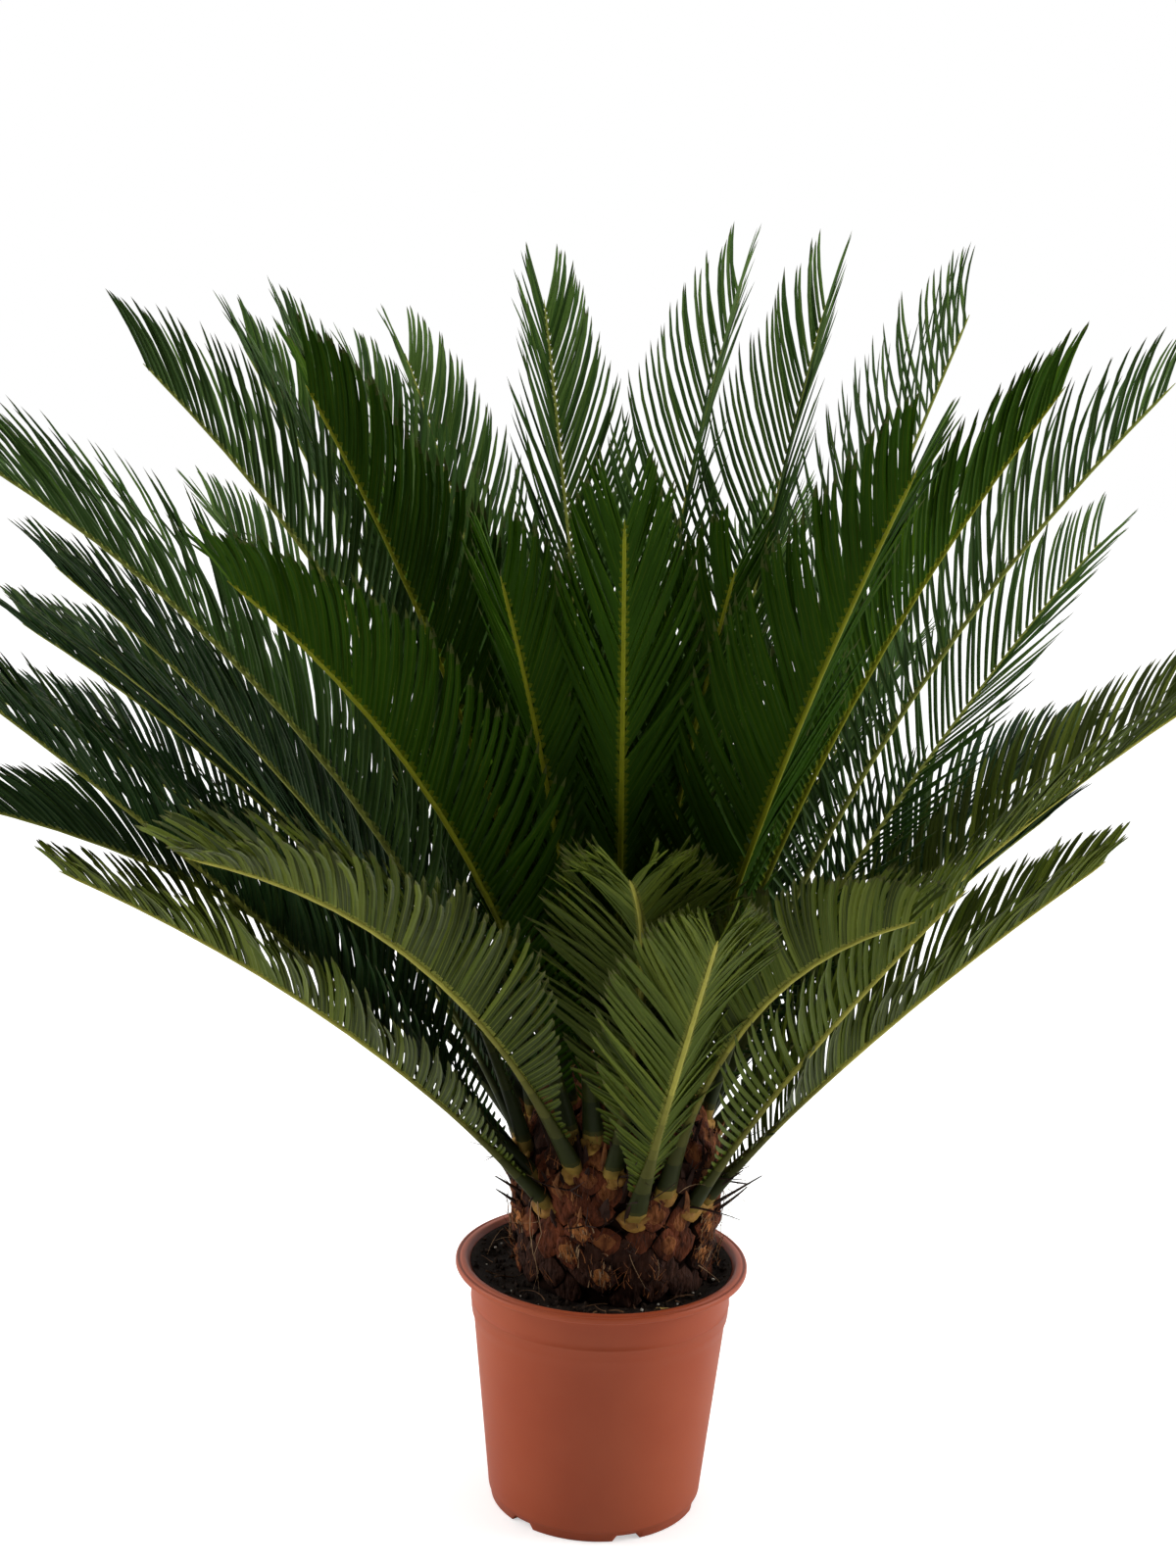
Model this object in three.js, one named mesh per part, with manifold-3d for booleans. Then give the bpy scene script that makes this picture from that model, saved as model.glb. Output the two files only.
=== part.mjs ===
// Sago palm in a round nursery pot: pot, soil, trunk and one solid for each frond.
// Units are millimetres, +Z is up, +X is the right side and -Y is the front.
// The origin is the centre of the pot's flat underside.

import * as THREE from 'three';
import { mergeVertices } from 'three/addons/utils/BufferGeometryUtils.js';
import Module from 'manifold-3d';

const wasm = await Module();
wasm.setup();

// ---------------------------------------------------------------- driving sizes

const GAP = 0.3;                  // clearance between neighbouring solids

// pot
const POT_HEIGHT = 208;
const RIM_RADIUS = 120;
const RIM_WIDTH = 10;             // flat top of the lip
const RIM_DEPTH = 6;              // height of the lip's outer edge
const COLLAR_RADIUS = 108;        // straight band under the lip
const COLLAR_FOOT = 165;          // height at which the band ends
const SHOULDER_RADIUS = 103.5;    // top of the tapered body
const SHOULDER_HEIGHT = 154;
const FOOT_RADIUS = 87;
const FOOT_HEIGHT = 8;
const WALL = 2.4;
const FLOOR = 3;
const PAD_RADIUS = 28;            // flat pad in the middle of the underside
const FOOT_RING_WIDTH = 13;
const NOTCHES = 6;                // drainage notches through the foot ring
const FIRST_NOTCH = 49;           // direction of the first one, in degrees
const NOTCH_WIDTH = 22;
const NOTCH_HEIGHT = 5;
const POT_SIDES = 40;

// soil and trunk
const SOIL_HEIGHT = 200;
const TRUNK_X = 10;               // the trunk stands a little right of the pot's centre
const TRUNK_FOOT = SOIL_HEIGHT + GAP;
const TRUNK_RADIUS = 82;
const TRUNK_WAIST = 79;           // radius just above the soil
const WAIST_TOP = 250;            // height at which the trunk is full again
const SHOULDER_START = 290;       // above this the trunk closes in a dome
const DOME_HEIGHT = 85;
const TRUNK_SIDES = 32;
const SCALE_ROWS = 5;             // rows of old leaf bases below the fronds
const SCALE_PITCH = 11;
const SCALE_DEPTH = 5.5;

// fronds
const BASE_WIDTH = 15;            // where a frond's foot clasps the trunk
const BASE_THICKNESS = 10;
const STALK_WIDTH = 8;
const STALK_THICKNESS = 5;
const TIP_WIDTH = 3.5;
const TIP_THICKNESS = 2.4;
const BARE_SHARE = 0.1;           // share of the rib that carries no leaflets
const TEETH = 22;                 // leaflet teeth on each side of a rib
const VEE = 48;                   // degrees that the leaflets stand up from the blade
const VEE_AT_FOOT = 30;           // they lie flatter near the foot of a frond
const ROLL_AT_FOOT = 2.2;         // and a frond is rolled this many times further there
const RISE_START = 0.06;          // shares of the rib between which both change
const RISE_END = 0.4;
const ANGLE_AT_FOOT = 54;         // degrees between leaflet and rib, at the lowest leaflet
const ANGLE_AT_TIP = 17;
const TOOTH_CLEARANCE = 0.4;
const TOOTH_LENGTHS = [1, 0.8, 0.6, 0.42, 0.28];

// A frond: the direction of its foot round the trunk and of its tip, in degrees from +X,
// how far its tip is from the trunk's axis, the tip's height above the ground, how far the
// rib bows up and sideways at its middle, and its longest leaflet. Then, in degrees, how high
// its leaflets stand, how far it is rolled about its rib and how much wider they spread.
const frond = (
  at,
  heading,
  reach,
  top,
  bow,
  sway = 0,
  leaflet = 130,
  { vee = VEE, roll = 0, spread = 0 } = {},
) => ({
  at, heading, reach, top, bow, sway, leaflet, vee, roll, spread,
});

// Whorls from the heart of the crown outwards, each seated at one height of the trunk.
const WHORLS = [
  {
    name: 'top',
    seat: 366,
    fronds: [
      frond(109, 109, 275, 985, 15, 0, 140),
      frond(70, 66, 195, 1000, 10, 25, 145),
      frond(36, 48, 225, 990, 10, 0, 150),
      frond(172, 168, 290, 942, 20),
      frond(140, 138, 335, 915, 25),
      frond(282, 284, 260, 800, 20, 0, 125),
    ],
  },
  {
    name: 'upper',
    seat: 352,
    fronds: [
      frond(28, 28, 300, 980, 10, 0, 155, { vee: 60, roll: 18, spread: 9 }),
      frond(345, 345, 315, 925, 30, 0, 130),
      frond(267, 268, 330, 835, 20, 0, 135),
      frond(225, 225, 320, 910, 28, 0, 135),
      frond(158, 160, 350, 935, 25),
      frond(124, 126, 365, 935, 25, 0, 135),
      frond(90, 90, 360, 800, 25),
    ],
  },
  {
    name: 'middle',
    seat: 335,
    fronds: [
      frond(358, 358, 400, 930, 40, 0, 135, { vee: 60, roll: 18, spread: 9 }),
      frond(296, 296, 380, 872, 20, 0, 135),
      frond(236, 236, 450, 793, 50, 0, 130),
      frond(254, 250, 270, 790, 20),
      frond(186, 184, 380, 920, 55, 0, 150, { vee: 60, roll: -14, spread: 5 }),
      frond(70, 70, 430, 800, 30),
      frond(95, 95, 470, 780, 30),
      frond(120, 120, 450, 800, 30),
      frond(46, 50, 450, 830, 30),
      frond(145, 145, 470, 790, 30),
    ],
  },
  {
    name: 'lower',
    seat: 312,
    fronds: [
      frond(32, 32, 485, 790, 20, 0, 120, { roll: -16 }),
      frond(202, 202, 540, 880, 70, 0, 150, { roll: 12 }),
      frond(182, 180, 455, 762, 35),
      frond(166, 166, 480, 690, 30),
      frond(244, 234, 470, 621, 47, -5, 110, { roll: 8, spread: 3 }),
      frond(268, 270, 275, 592, 44, 14, 120, { vee: 36 }),
      frond(12, 12, 600, 745, 35, 0, 105, { vee: 42, roll: -10 }),
      frond(60, 60, 550, 660, 35),
      frond(85, 85, 540, 640, 35),
      frond(110, 110, 560, 620, 35),
      frond(135, 135, 560, 650, 35),
      frond(150, 160, 570, 692, 35, 0, 130),
    ],
  },
  {
    name: 'outer',
    seat: 295,
    fronds: [
      frond(155, 158, 620, 620, 50),
      frond(216, 204, 530, 715, 12, 0, 125, { roll: 10 }),
      frond(200, 198, 510, 604, 50, 0, 130, { roll: 14 }),
      frond(298, 305, 335, 570, 44, 0, 90, { vee: 56, spread: 18 }),
      frond(42, 40, 560, 600, 35),
    ],
  },
  {
    name: 'skirt',
    seat: 278,
    fronds: [
      frond(226, 203, 445, 560, 22, 0, 100, { vee: 40, roll: 20, spread: 12 }),
      frond(281, 281, 310, 560, 25, 10, 115, { vee: 42, roll: -2 }),
      frond(318, 324, 298, 570, 8, 0, 115, { vee: 44, roll: -10 }),
      frond(332, 340, 372, 584, 10, 0, 95, { vee: 40, roll: -16, spread: 4 }),
      frond(20, 24, 400, 560, 20, 0, 115),
      frond(75, 75, 510, 520, 25),
      frond(102, 102, 500, 500, 25),
      frond(128, 128, 520, 510, 25),
    ],
  },
];

// ---------------------------------------------------------------- materials

const material = (name, color, roughness) => {
  const finish = new THREE.MeshStandardMaterial({ color, roughness, metalness: 0 });
  finish.name = name;
  return finish;
};

const terracotta = material('terracotta_plastic', 0xb4705a, 0.45);
const pottingSoil = material('potting_soil', 0x33261e, 0.95);
const bark = material('bark', 0x7a5236, 0.9);
const leaf = material('leaf', 0x4d6b35, 0.5);

// ---------------------------------------------------------------- small helpers

const radians = (degrees) => THREE.MathUtils.degToRad(degrees);
const mix = THREE.MathUtils.lerp;

function closedGeometry(points, triangles) {
  const geometry = new THREE.BufferGeometry();
  const positions = points.flatMap((p) => [p.x, p.y, p.z]);
  geometry.setAttribute('position', new THREE.Float32BufferAttribute(positions, 3));
  geometry.setIndex(triangles.flat());
  return geometry;
}

// A lathe profile of [radius, height] pairs that starts and ends on the axis.
function turned(profile, sides) {
  const points = profile.map(([radius, height]) => new THREE.Vector2(radius, height));
  const geometry = new THREE.LatheGeometry(points, sides);
  geometry.rotateX(Math.PI / 2);
  return geometry;
}

function toManifold(geometry) {
  const bare = geometry.clone();
  bare.deleteAttribute('normal');
  bare.deleteAttribute('uv');
  const merged = mergeVertices(bare, 1e-4);
  const index = merged.index.array;
  const triVerts = [];
  for (let i = 0; i < index.length; i += 3) {
    const [a, b, c] = [index[i], index[i + 1], index[i + 2]];
    if (a !== b && b !== c && c !== a) triVerts.push(a, b, c);
  }
  return new wasm.Manifold(new wasm.Mesh({
    numProp: 3,
    vertProperties: merged.attributes.position.array,
    triVerts: new Uint32Array(triVerts),
  }));
}

function fromManifold(solid) {
  const mesh = solid.getMesh();
  const geometry = new THREE.BufferGeometry();
  geometry.setAttribute('position', new THREE.BufferAttribute(mesh.vertProperties, 3));
  geometry.setIndex(new THREE.BufferAttribute(mesh.triVerts, 1));
  return geometry;
}

// ---------------------------------------------------------------- pot and soil

function potGeometry() {
  const top = POT_HEIGHT;
  const innerRim = RIM_RADIUS - RIM_WIDTH;
  const floorTop = FOOT_HEIGHT + FLOOR;
  const shell = turned([
    [0, 0],
    [PAD_RADIUS, 0],
    [PAD_RADIUS + 2, FOOT_HEIGHT],
    [FOOT_RADIUS - FOOT_RING_WIDTH - 1, FOOT_HEIGHT],
    [FOOT_RADIUS - FOOT_RING_WIDTH, 0],
    [FOOT_RADIUS - 1, 0],
    [FOOT_RADIUS, FOOT_HEIGHT],
    [FOOT_RADIUS + 1.5, FOOT_HEIGHT + 2],
    [SHOULDER_RADIUS, SHOULDER_HEIGHT],
    [COLLAR_RADIUS - 2, COLLAR_FOOT],
    [COLLAR_RADIUS, top - RIM_DEPTH],
    [RIM_RADIUS - 1, top - RIM_DEPTH],
    [RIM_RADIUS, top - RIM_DEPTH + 1],
    [RIM_RADIUS, top - 1.5],
    [RIM_RADIUS - 1.5, top],
    [innerRim + 1, top],
    [innerRim, top - 1],
    [COLLAR_RADIUS - WALL, top - RIM_DEPTH],
    [COLLAR_RADIUS - 2 - WALL, COLLAR_FOOT],
    [SHOULDER_RADIUS - WALL, SHOULDER_HEIGHT],
    [FOOT_RADIUS - WALL, floorTop],
    [0, floorTop],
  ], POT_SIDES);
  let pot = toManifold(shell);
  for (let i = 0; i < NOTCHES; i += 1) {
    const notch = new THREE.BoxGeometry(FOOT_RING_WIDTH * 2, NOTCH_WIDTH, NOTCH_HEIGHT * 2);
    notch.translate(FOOT_RADIUS - FOOT_RING_WIDTH / 2, 0, 0);
    notch.rotateZ(radians(FIRST_NOTCH + (i / NOTCHES) * 360));
    pot = pot.subtract(toManifold(notch));
  }
  return fromManifold(pot);
}

function soilGeometry() {
  const innerTop = COLLAR_RADIUS - WALL - GAP;
  return fromManifold(toManifold(turned([
    [0, FOOT_HEIGHT + FLOOR + GAP],
    [FOOT_RADIUS - WALL - GAP, FOOT_HEIGHT + FLOOR + GAP],
    [SHOULDER_RADIUS - WALL - GAP, SHOULDER_HEIGHT],
    [innerTop - 2, COLLAR_FOOT],
    [innerTop, SOIL_HEIGHT - 3],
    [innerTop - 3, SOIL_HEIGHT],
    [0, SOIL_HEIGHT],
  ], POT_SIDES)));
}

// ---------------------------------------------------------------- trunk

function trunkRadius(height) {
  if (height > SHOULDER_START) {
    const rise = (height - SHOULDER_START) / DOME_HEIGHT;
    return TRUNK_RADIUS * Math.sqrt(Math.max(0, 1 - rise * rise));
  }
  const share = THREE.MathUtils.smoothstep(height, TRUNK_FOOT, WAIST_TOP);
  return mix(TRUNK_WAIST, TRUNK_RADIUS, share);
}

function onTrunk(angle, height, offset) {
  const slope = (trunkRadius(height - 1) - trunkRadius(height + 1)) / 2;
  const outwards = offset / Math.hypot(1, slope);
  const radius = trunkRadius(height) + outwards;
  return new THREE.Vector3(
    TRUNK_X + radius * Math.cos(angle),
    radius * Math.sin(angle),
    height + outwards * slope,
  );
}

// Rows of staggered leaf bases below, and a plain dome above that the fronds stand on.
function trunkGeometry() {
  const rows = [{ height: TRUNK_FOOT, depth: 0 }];
  for (let row = 1; row <= SCALE_ROWS; row += 1) {
    rows.push({ height: TRUNK_FOOT + row * SCALE_PITCH, depth: SCALE_DEPTH, row });
  }
  rows.push({ height: TRUNK_FOOT + (SCALE_ROWS + 1) * SCALE_PITCH, depth: 0 });
  const domeSteps = 9;
  for (let step = 0; step < domeSteps; step += 1) {
    const height = SHOULDER_START + DOME_HEIGHT * Math.sin((step / domeSteps) * Math.PI / 2);
    rows.push({ height, depth: 0 });
  }

  const points = [];
  rows.forEach(({ height, depth, row }) => {
    for (let i = 0; i < TRUNK_SIDES; i += 1) {
      const onScale = (i + (row ?? 0)) % 2 === 0;
      const relief = depth === 0 ? 0 : (onScale ? depth - 1.5 : -1.5);
      const angle = (i / TRUNK_SIDES) * 2 * Math.PI;
      const radius = trunkRadius(height) + relief;
      points.push(new THREE.Vector3(
        TRUNK_X + radius * Math.cos(angle),
        radius * Math.sin(angle),
        height,
      ));
    }
  });
  const foot = points.push(new THREE.Vector3(TRUNK_X, 0, TRUNK_FOOT)) - 1;
  const crown = points.push(new THREE.Vector3(TRUNK_X, 0, SHOULDER_START + DOME_HEIGHT)) - 1;

  const triangles = [];
  const last = (rows.length - 1) * TRUNK_SIDES;
  for (let i = 0; i < TRUNK_SIDES; i += 1) {
    const next = (i + 1) % TRUNK_SIDES;
    triangles.push([foot, next, i], [crown, last + i, last + next]);
    for (let r = 0; r < rows.length - 1; r += 1) {
      const [a, b] = [r * TRUNK_SIDES + i, r * TRUNK_SIDES + next];
      const [c, d] = [b + TRUNK_SIDES, a + TRUNK_SIDES];
      const alongScale = (i + (rows[r].row ?? 0)) % 2 === 0;
      if (alongScale) triangles.push([a, b, c], [a, c, d]);
      else triangles.push([a, b, d], [b, c, d]);
    }
  }
  return closedGeometry(points, triangles);
}

// ---------------------------------------------------------------- fronds

// The rib is a bowed curve from its seat on the trunk to its tip.
function ribCurve({ at, heading, reach, top, bow, sway }, seat) {
  const foot = onTrunk(radians(at), seat, 0);
  const direction = radians(heading);
  const tip = new THREE.Vector3(
    TRUNK_X + reach * Math.cos(direction),
    reach * Math.sin(direction),
    top,
  );
  const along = tip.clone().sub(foot).normalize();
  const side = new THREE.Vector3(-Math.sin(direction), Math.cos(direction), 0);
  const over = new THREE.Vector3().crossVectors(along, side).normalize();
  if (over.z < 0) over.negate();
  const middle = foot.clone().add(tip).multiplyScalar(0.5)
    .addScaledVector(over, 2 * bow)
    .addScaledVector(side, 2 * sway);
  return new THREE.QuadraticBezierCurve3(foot, middle, tip);
}

// The four corners of the rib's section: upper left, upper right, lower right, lower left.
function sectionAt(curve, share) {
  const centre = curve.getPoint(share);
  const along = curve.getTangent(share);
  const up = new THREE.Vector3(0, 0, 1).addScaledVector(along, -along.z).normalize();
  const right = new THREE.Vector3().crossVectors(along, up);
  const grown = Math.max(0, (share - BARE_SHARE) / (1 - BARE_SHARE));
  const swell = Math.max(0, 1 - share / BARE_SHARE) ** 2;
  const width = mix(STALK_WIDTH, TIP_WIDTH, grown) + swell * (BASE_WIDTH - STALK_WIDTH) * 0.6;
  const thickness = mix(STALK_THICKNESS, TIP_THICKNESS, grown)
    + swell * (BASE_THICKNESS - STALK_THICKNESS) * 0.6;
  const corner = (x, z) => centre.clone()
    .addScaledVector(right, x * width / 2)
    .addScaledVector(up, z * thickness / 2);
  return {
    centre, along, up, right, corners: [corner(-1, 1), corner(1, 1), corner(1, -1), corner(-1, -1)],
  };
}

// The foot lies against the trunk, its four corners on the trunk's own surface.
function footCorners({ at }, seat) {
  const offset = GAP + 0.4;
  const turn = BASE_WIDTH / 2 / trunkRadius(seat);
  const slope = (trunkRadius(seat + 1) - trunkRadius(seat - 1)) / 2;
  const rise = BASE_THICKNESS / 2 / Math.hypot(1, slope);
  const angle = radians(at);
  return [
    onTrunk(angle + turn, seat + rise, offset),
    onTrunk(angle - turn, seat + rise, offset),
    onTrunk(angle - turn, seat - rise, offset),
    onTrunk(angle + turn, seat - rise, offset),
  ];
}

// Short spines at the foot, full length over the middle, shorter again towards the tip.
function leafletLength(share, longest) {
  const body = Math.sin(Math.PI * Math.min(1, 0.1 + 0.86 * share)) ** 0.7;
  return longest * (0.3 + 0.7 * body);
}

function leafletDirection({ vee: fullVee, roll, spread }, section, side, share) {
  const angle = radians(mix(ANGLE_AT_FOOT, ANGLE_AT_TIP, share) + spread);
  const risen = THREE.MathUtils.smoothstep(mix(BARE_SHARE, 0.985, share), RISE_START, RISE_END);
  const vee = radians(mix(VEE_AT_FOOT, fullVee, risen) + side * roll * mix(ROLL_AT_FOOT, 1, risen));
  return section.along.clone().multiplyScalar(Math.cos(angle))
    .addScaledVector(section.right, side * Math.sin(angle) * Math.cos(vee))
    .addScaledVector(section.up, Math.sin(angle) * Math.sin(vee));
}

// A convex piece, kept with the face normals and edges that can separate it from another.
function convexPiece(points, faces, edges) {
  const normals = faces.map(([a, b, c]) => new THREE.Vector3().crossVectors(
    points[b].clone().sub(points[a]),
    points[c].clone().sub(points[a]),
  ).normalize());
  const directions = edges.map(([a, b]) => points[b].clone().sub(points[a]).normalize());
  return { points, normals, directions, box: new THREE.Box3().setFromPoints(points) };
}

function gapAlong(axis, first, second) {
  let [lowA, highA, lowB, highB] = [Infinity, -Infinity, Infinity, -Infinity];
  first.points.forEach((p) => {
    const d = p.dot(axis);
    lowA = Math.min(lowA, d);
    highA = Math.max(highA, d);
  });
  second.points.forEach((p) => {
    const d = p.dot(axis);
    lowB = Math.min(lowB, d);
    highB = Math.max(highB, d);
  });
  return Math.max(lowB - highA, lowA - highB);
}

// True when some axis shows the two convex pieces further apart than the clearance.
function standClear(first, second, clearance) {
  const reach = second.box.clone().expandByScalar(clearance);
  if (!first.box.intersectsBox(reach)) return true;
  if ([...first.normals, ...second.normals].some((n) => gapAlong(n, first, second) > clearance)) {
    return true;
  }
  const axis = new THREE.Vector3();
  return first.directions.some((a) => second.directions.some((b) => {
    axis.crossVectors(a, b);
    if (axis.lengthSq() < 1e-6) return false;
    return gapAlong(axis.normalize(), first, second) > clearance;
  }));
}

const BLOCK_FACES = [[0, 1, 2], [4, 5, 6], [0, 1, 5], [1, 2, 6], [2, 3, 7], [3, 0, 4]];
const BLOCK_EDGES = [[0, 1], [1, 2], [0, 4], [1, 5], [2, 6], [3, 7], [4, 5], [5, 6]];
const SPIKE_FACES = [[0, 1, 2], [0, 1, 4], [1, 2, 4], [2, 3, 4], [3, 0, 4]];
const SPIKE_EDGES = [[0, 1], [1, 2], [0, 4], [1, 4], [2, 4], [3, 4]];

// The rib's sections from foot to tip, with the stretch that each leaflet tooth grows from.
function layOutFrond(frondSizes, seat) {
  const curve = ribCurve(frondSizes, seat);
  const shares = [0.035, BARE_SHARE * 0.7];
  for (let i = 0; i <= TEETH; i += 1) shares.push(mix(BARE_SHARE, 0.985, i / TEETH));
  const sections = shares.map((share) => sectionAt(curve, share));
  const rings = [footCorners(frondSizes, seat), ...sections.map((s) => s.corners)];
  const tip = curve.getPoint(1);
  const pieces = [];
  for (let i = 0; i < rings.length - 1; i += 1) {
    pieces.push(convexPiece([...rings[i], ...rings[i + 1]], BLOCK_FACES, BLOCK_EDGES));
  }
  pieces.push(convexPiece([...rings.at(-1), tip], SPIKE_FACES, SPIKE_EDGES));
  const firstTooth = rings.length - 1 - TEETH;
  return { sizes: frondSizes, curve, rings, tip, pieces, firstTooth, teeth: new Map() };
}

function toothFor(plan, index, side, lengthShare) {
  const ring = plan.firstTooth + index;
  const share = (index + 0.5) / TEETH;
  const section = sectionAt(plan.curve, mix(BARE_SHARE, 0.985, share));
  const [near, far] = [plan.rings[ring], plan.rings[ring + 1]];
  const root = side > 0
    ? [near[1], far[1], far[2], near[2]]
    : [near[3], far[3], far[0], near[0]];
  const middle = root.reduce((sum, p) => sum.add(p), new THREE.Vector3()).multiplyScalar(0.25);
  const length = leafletLength(share, plan.sizes.leaflet) * lengthShare;
  const direction = leafletDirection(plan.sizes, section, side, share);
  const apex = middle.addScaledVector(direction, length);
  return { apex, piece: convexPiece([...root, apex], SPIKE_FACES, SPIKE_EDGES) };
}

// Teeth grow from the tips inwards, all fronds in turn. One that would touch another frond
// or the trunk is tried shorter, and is left out where even a short one has no room.
function growTeeth(plans) {
  for (let index = TEETH - 1; index >= 0; index -= 1) {
    plans.forEach((plan) => [-1, 1].forEach((side) => {
      const fits = ({ piece }) => plans.every((other) => other === plan
        || other.pieces.every((taken) => standClear(piece, taken, TOOTH_CLEARANCE)));
      for (const lengthShare of TOOTH_LENGTHS) {
        const tooth = toothFor(plan, index, side, lengthShare);
        if (fits(tooth)) {
          plan.teeth.set(`${index}:${side}`, tooth.apex);
          plan.pieces.push(tooth.piece);
          break;
        }
      }
    }));
  }
}

function frondGeometry(plan) {
  const { rings, tip, firstTooth, teeth } = plan;
  const points = rings.flat();
  const triangles = [[0, 2, 1], [0, 3, 2]];
  const quad = (a, b, c, d) => triangles.push([a, b, c], [a, c, d]);
  for (let ring = 0; ring < rings.length - 1; ring += 1) {
    const near = ring * 4;
    const far = near + 4;
    quad(near, near + 1, far + 1, far);
    quad(near + 2, near + 3, far + 3, far + 2);
    const flanks = [
      { side: 1, corners: [near + 1, near + 2, far + 2, far + 1] },
      { side: -1, corners: [near + 3, near, far, far + 3] },
    ];
    flanks.forEach(({ side, corners }) => {
      const apex = teeth.get(`${ring - firstTooth}:${side}`);
      if (!apex) {
        quad(...corners);
        return;
      }
      const peak = points.push(apex) - 1;
      corners.forEach((corner, i) => triangles.push([corner, corners[(i + 1) % 4], peak]));
    });
  }
  const end = (rings.length - 1) * 4;
  const peak = points.push(tip) - 1;
  for (let i = 0; i < 4; i += 1) triangles.push([end + i, end + ((i + 1) % 4), peak]);
  return closedGeometry(points, triangles);
}

// ---------------------------------------------------------------- assembly

function named(name, geometry, finish) {
  const mesh = new THREE.Mesh(geometry, finish);
  mesh.name = name;
  return mesh;
}

const palm = new THREE.Group();
palm.add(named('pot', potGeometry(), terracotta));
palm.add(named('soil', soilGeometry(), pottingSoil));
palm.add(named('trunk', trunkGeometry(), bark));

const plans = WHORLS.flatMap(({ name, seat, fronds }) => fronds.map((sizes, i) => (
  { name: `frond_${name}_${i + 1}`, ...layOutFrond(sizes, seat) }
)));
growTeeth(plans);
plans.forEach((plan) => palm.add(named(plan.name, frondGeometry(plan), leaf)));

export default palm;
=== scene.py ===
"""Sago palm in a round nursery pot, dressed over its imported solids.

Sizes and places are named in millimetres and degrees. The settings hold metres and radians,
as Blender's properties do, and meshes are written in metres. +Z is up, +X the right side
and -Y the front.
"""

import math

import bmesh
import bpy
import numpy as np
from bpy.props import FloatProperty, FloatVectorProperty, IntProperty, PointerProperty
from bpy.types import Operator, Panel, PropertyGroup
from mathutils import Matrix, Vector, noise


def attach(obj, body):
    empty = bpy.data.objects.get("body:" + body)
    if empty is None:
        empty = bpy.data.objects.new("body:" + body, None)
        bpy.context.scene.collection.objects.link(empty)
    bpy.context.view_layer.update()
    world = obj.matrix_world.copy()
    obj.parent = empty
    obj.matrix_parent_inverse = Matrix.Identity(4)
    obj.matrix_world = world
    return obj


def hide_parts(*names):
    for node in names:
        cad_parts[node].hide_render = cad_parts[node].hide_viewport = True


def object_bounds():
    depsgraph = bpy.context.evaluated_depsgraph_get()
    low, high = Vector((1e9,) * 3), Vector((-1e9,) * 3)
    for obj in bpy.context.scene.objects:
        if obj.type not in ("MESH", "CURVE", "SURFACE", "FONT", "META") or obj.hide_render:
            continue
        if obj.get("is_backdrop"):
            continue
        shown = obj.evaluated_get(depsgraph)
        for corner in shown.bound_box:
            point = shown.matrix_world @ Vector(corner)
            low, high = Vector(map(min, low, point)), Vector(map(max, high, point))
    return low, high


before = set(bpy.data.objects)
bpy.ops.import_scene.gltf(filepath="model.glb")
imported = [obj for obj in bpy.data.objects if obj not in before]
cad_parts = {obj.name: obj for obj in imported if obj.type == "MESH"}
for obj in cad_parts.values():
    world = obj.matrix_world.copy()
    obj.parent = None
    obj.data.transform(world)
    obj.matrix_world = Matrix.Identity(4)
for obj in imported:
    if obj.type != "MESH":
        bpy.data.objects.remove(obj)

bl_info = {
    "name": "Sago Palm in a Pot",
    "version": (1, 0, 0),
    "blender": (4, 5, 0),
    "location": "3D View > Sidebar > Sago Palm",
    "description": "Fronds, scaly trunk, soil and nursery pot of a sago palm",
    "category": "Add Mesh",
}

CAD_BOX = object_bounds()
MM = 0.001

# ---------------------------------------------------------------- named sizes

GAP = 0.3               # left between pot, soil and trunk

POT_HEIGHT = 208.0
COLLAR_RADIUS = 108.0   # the straight band under the lip
COLLAR_FOOT = 165.0
MOULD_LINE = 174.0      # height of a fine ring round the band
SHOULDER_RADIUS = 103.5
SHOULDER_HEIGHT = 154.0
FOOT_RADIUS = 87.0
FOOT_HEIGHT = 8.0
BODY_FOOT = FOOT_HEIGHT + 2
BODY_RINGS = (20, 45, 75, 105, 130, 148)    # heights of the rings between foot and shoulder
POT_FLOOR = 3.0         # thickness of the pot's floor
PAD_RADIUS = 28.0
FOOT_RING_WIDTH = 13.0
NOTCHES = 6
FIRST_NOTCH = 49.0      # direction of one notch
NOTCH_WIDTH = 22.0
NOTCH_HEIGHT = 5.0
POT_TURN = 160          # steps in which the pot's section is turned

SOIL_HEIGHT = 200.0
SOIL_RINGS = 42
SOIL_TURN = 144
SOIL_LUMPS = ((0.035, 2.6), (0.16, 1.6), (0.45, 0.9))    # scale and height of each noise
HEAP = 6.0              # how much higher the soil lies against the pot
HEAP_WIDTH = 14.0
CRUMBS_FROM = 72.0      # radii between which crumbs, roots and grit lie
LOOSE_FROM = 86.0
LOOSE_TO = 102.0
ROOTS = 26
ROOT_STEPS = 9
ROOT_REACH = (10, 34)
ROOT_RADIUS = (0.35, 0.8)
GRIT = 34
CHIP_PLACE = (52, -86)  # of the wood chip
CHIP_SIZE = 1.6
CHIP_STRETCH = (6.0, 2.6, 1.2)

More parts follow.
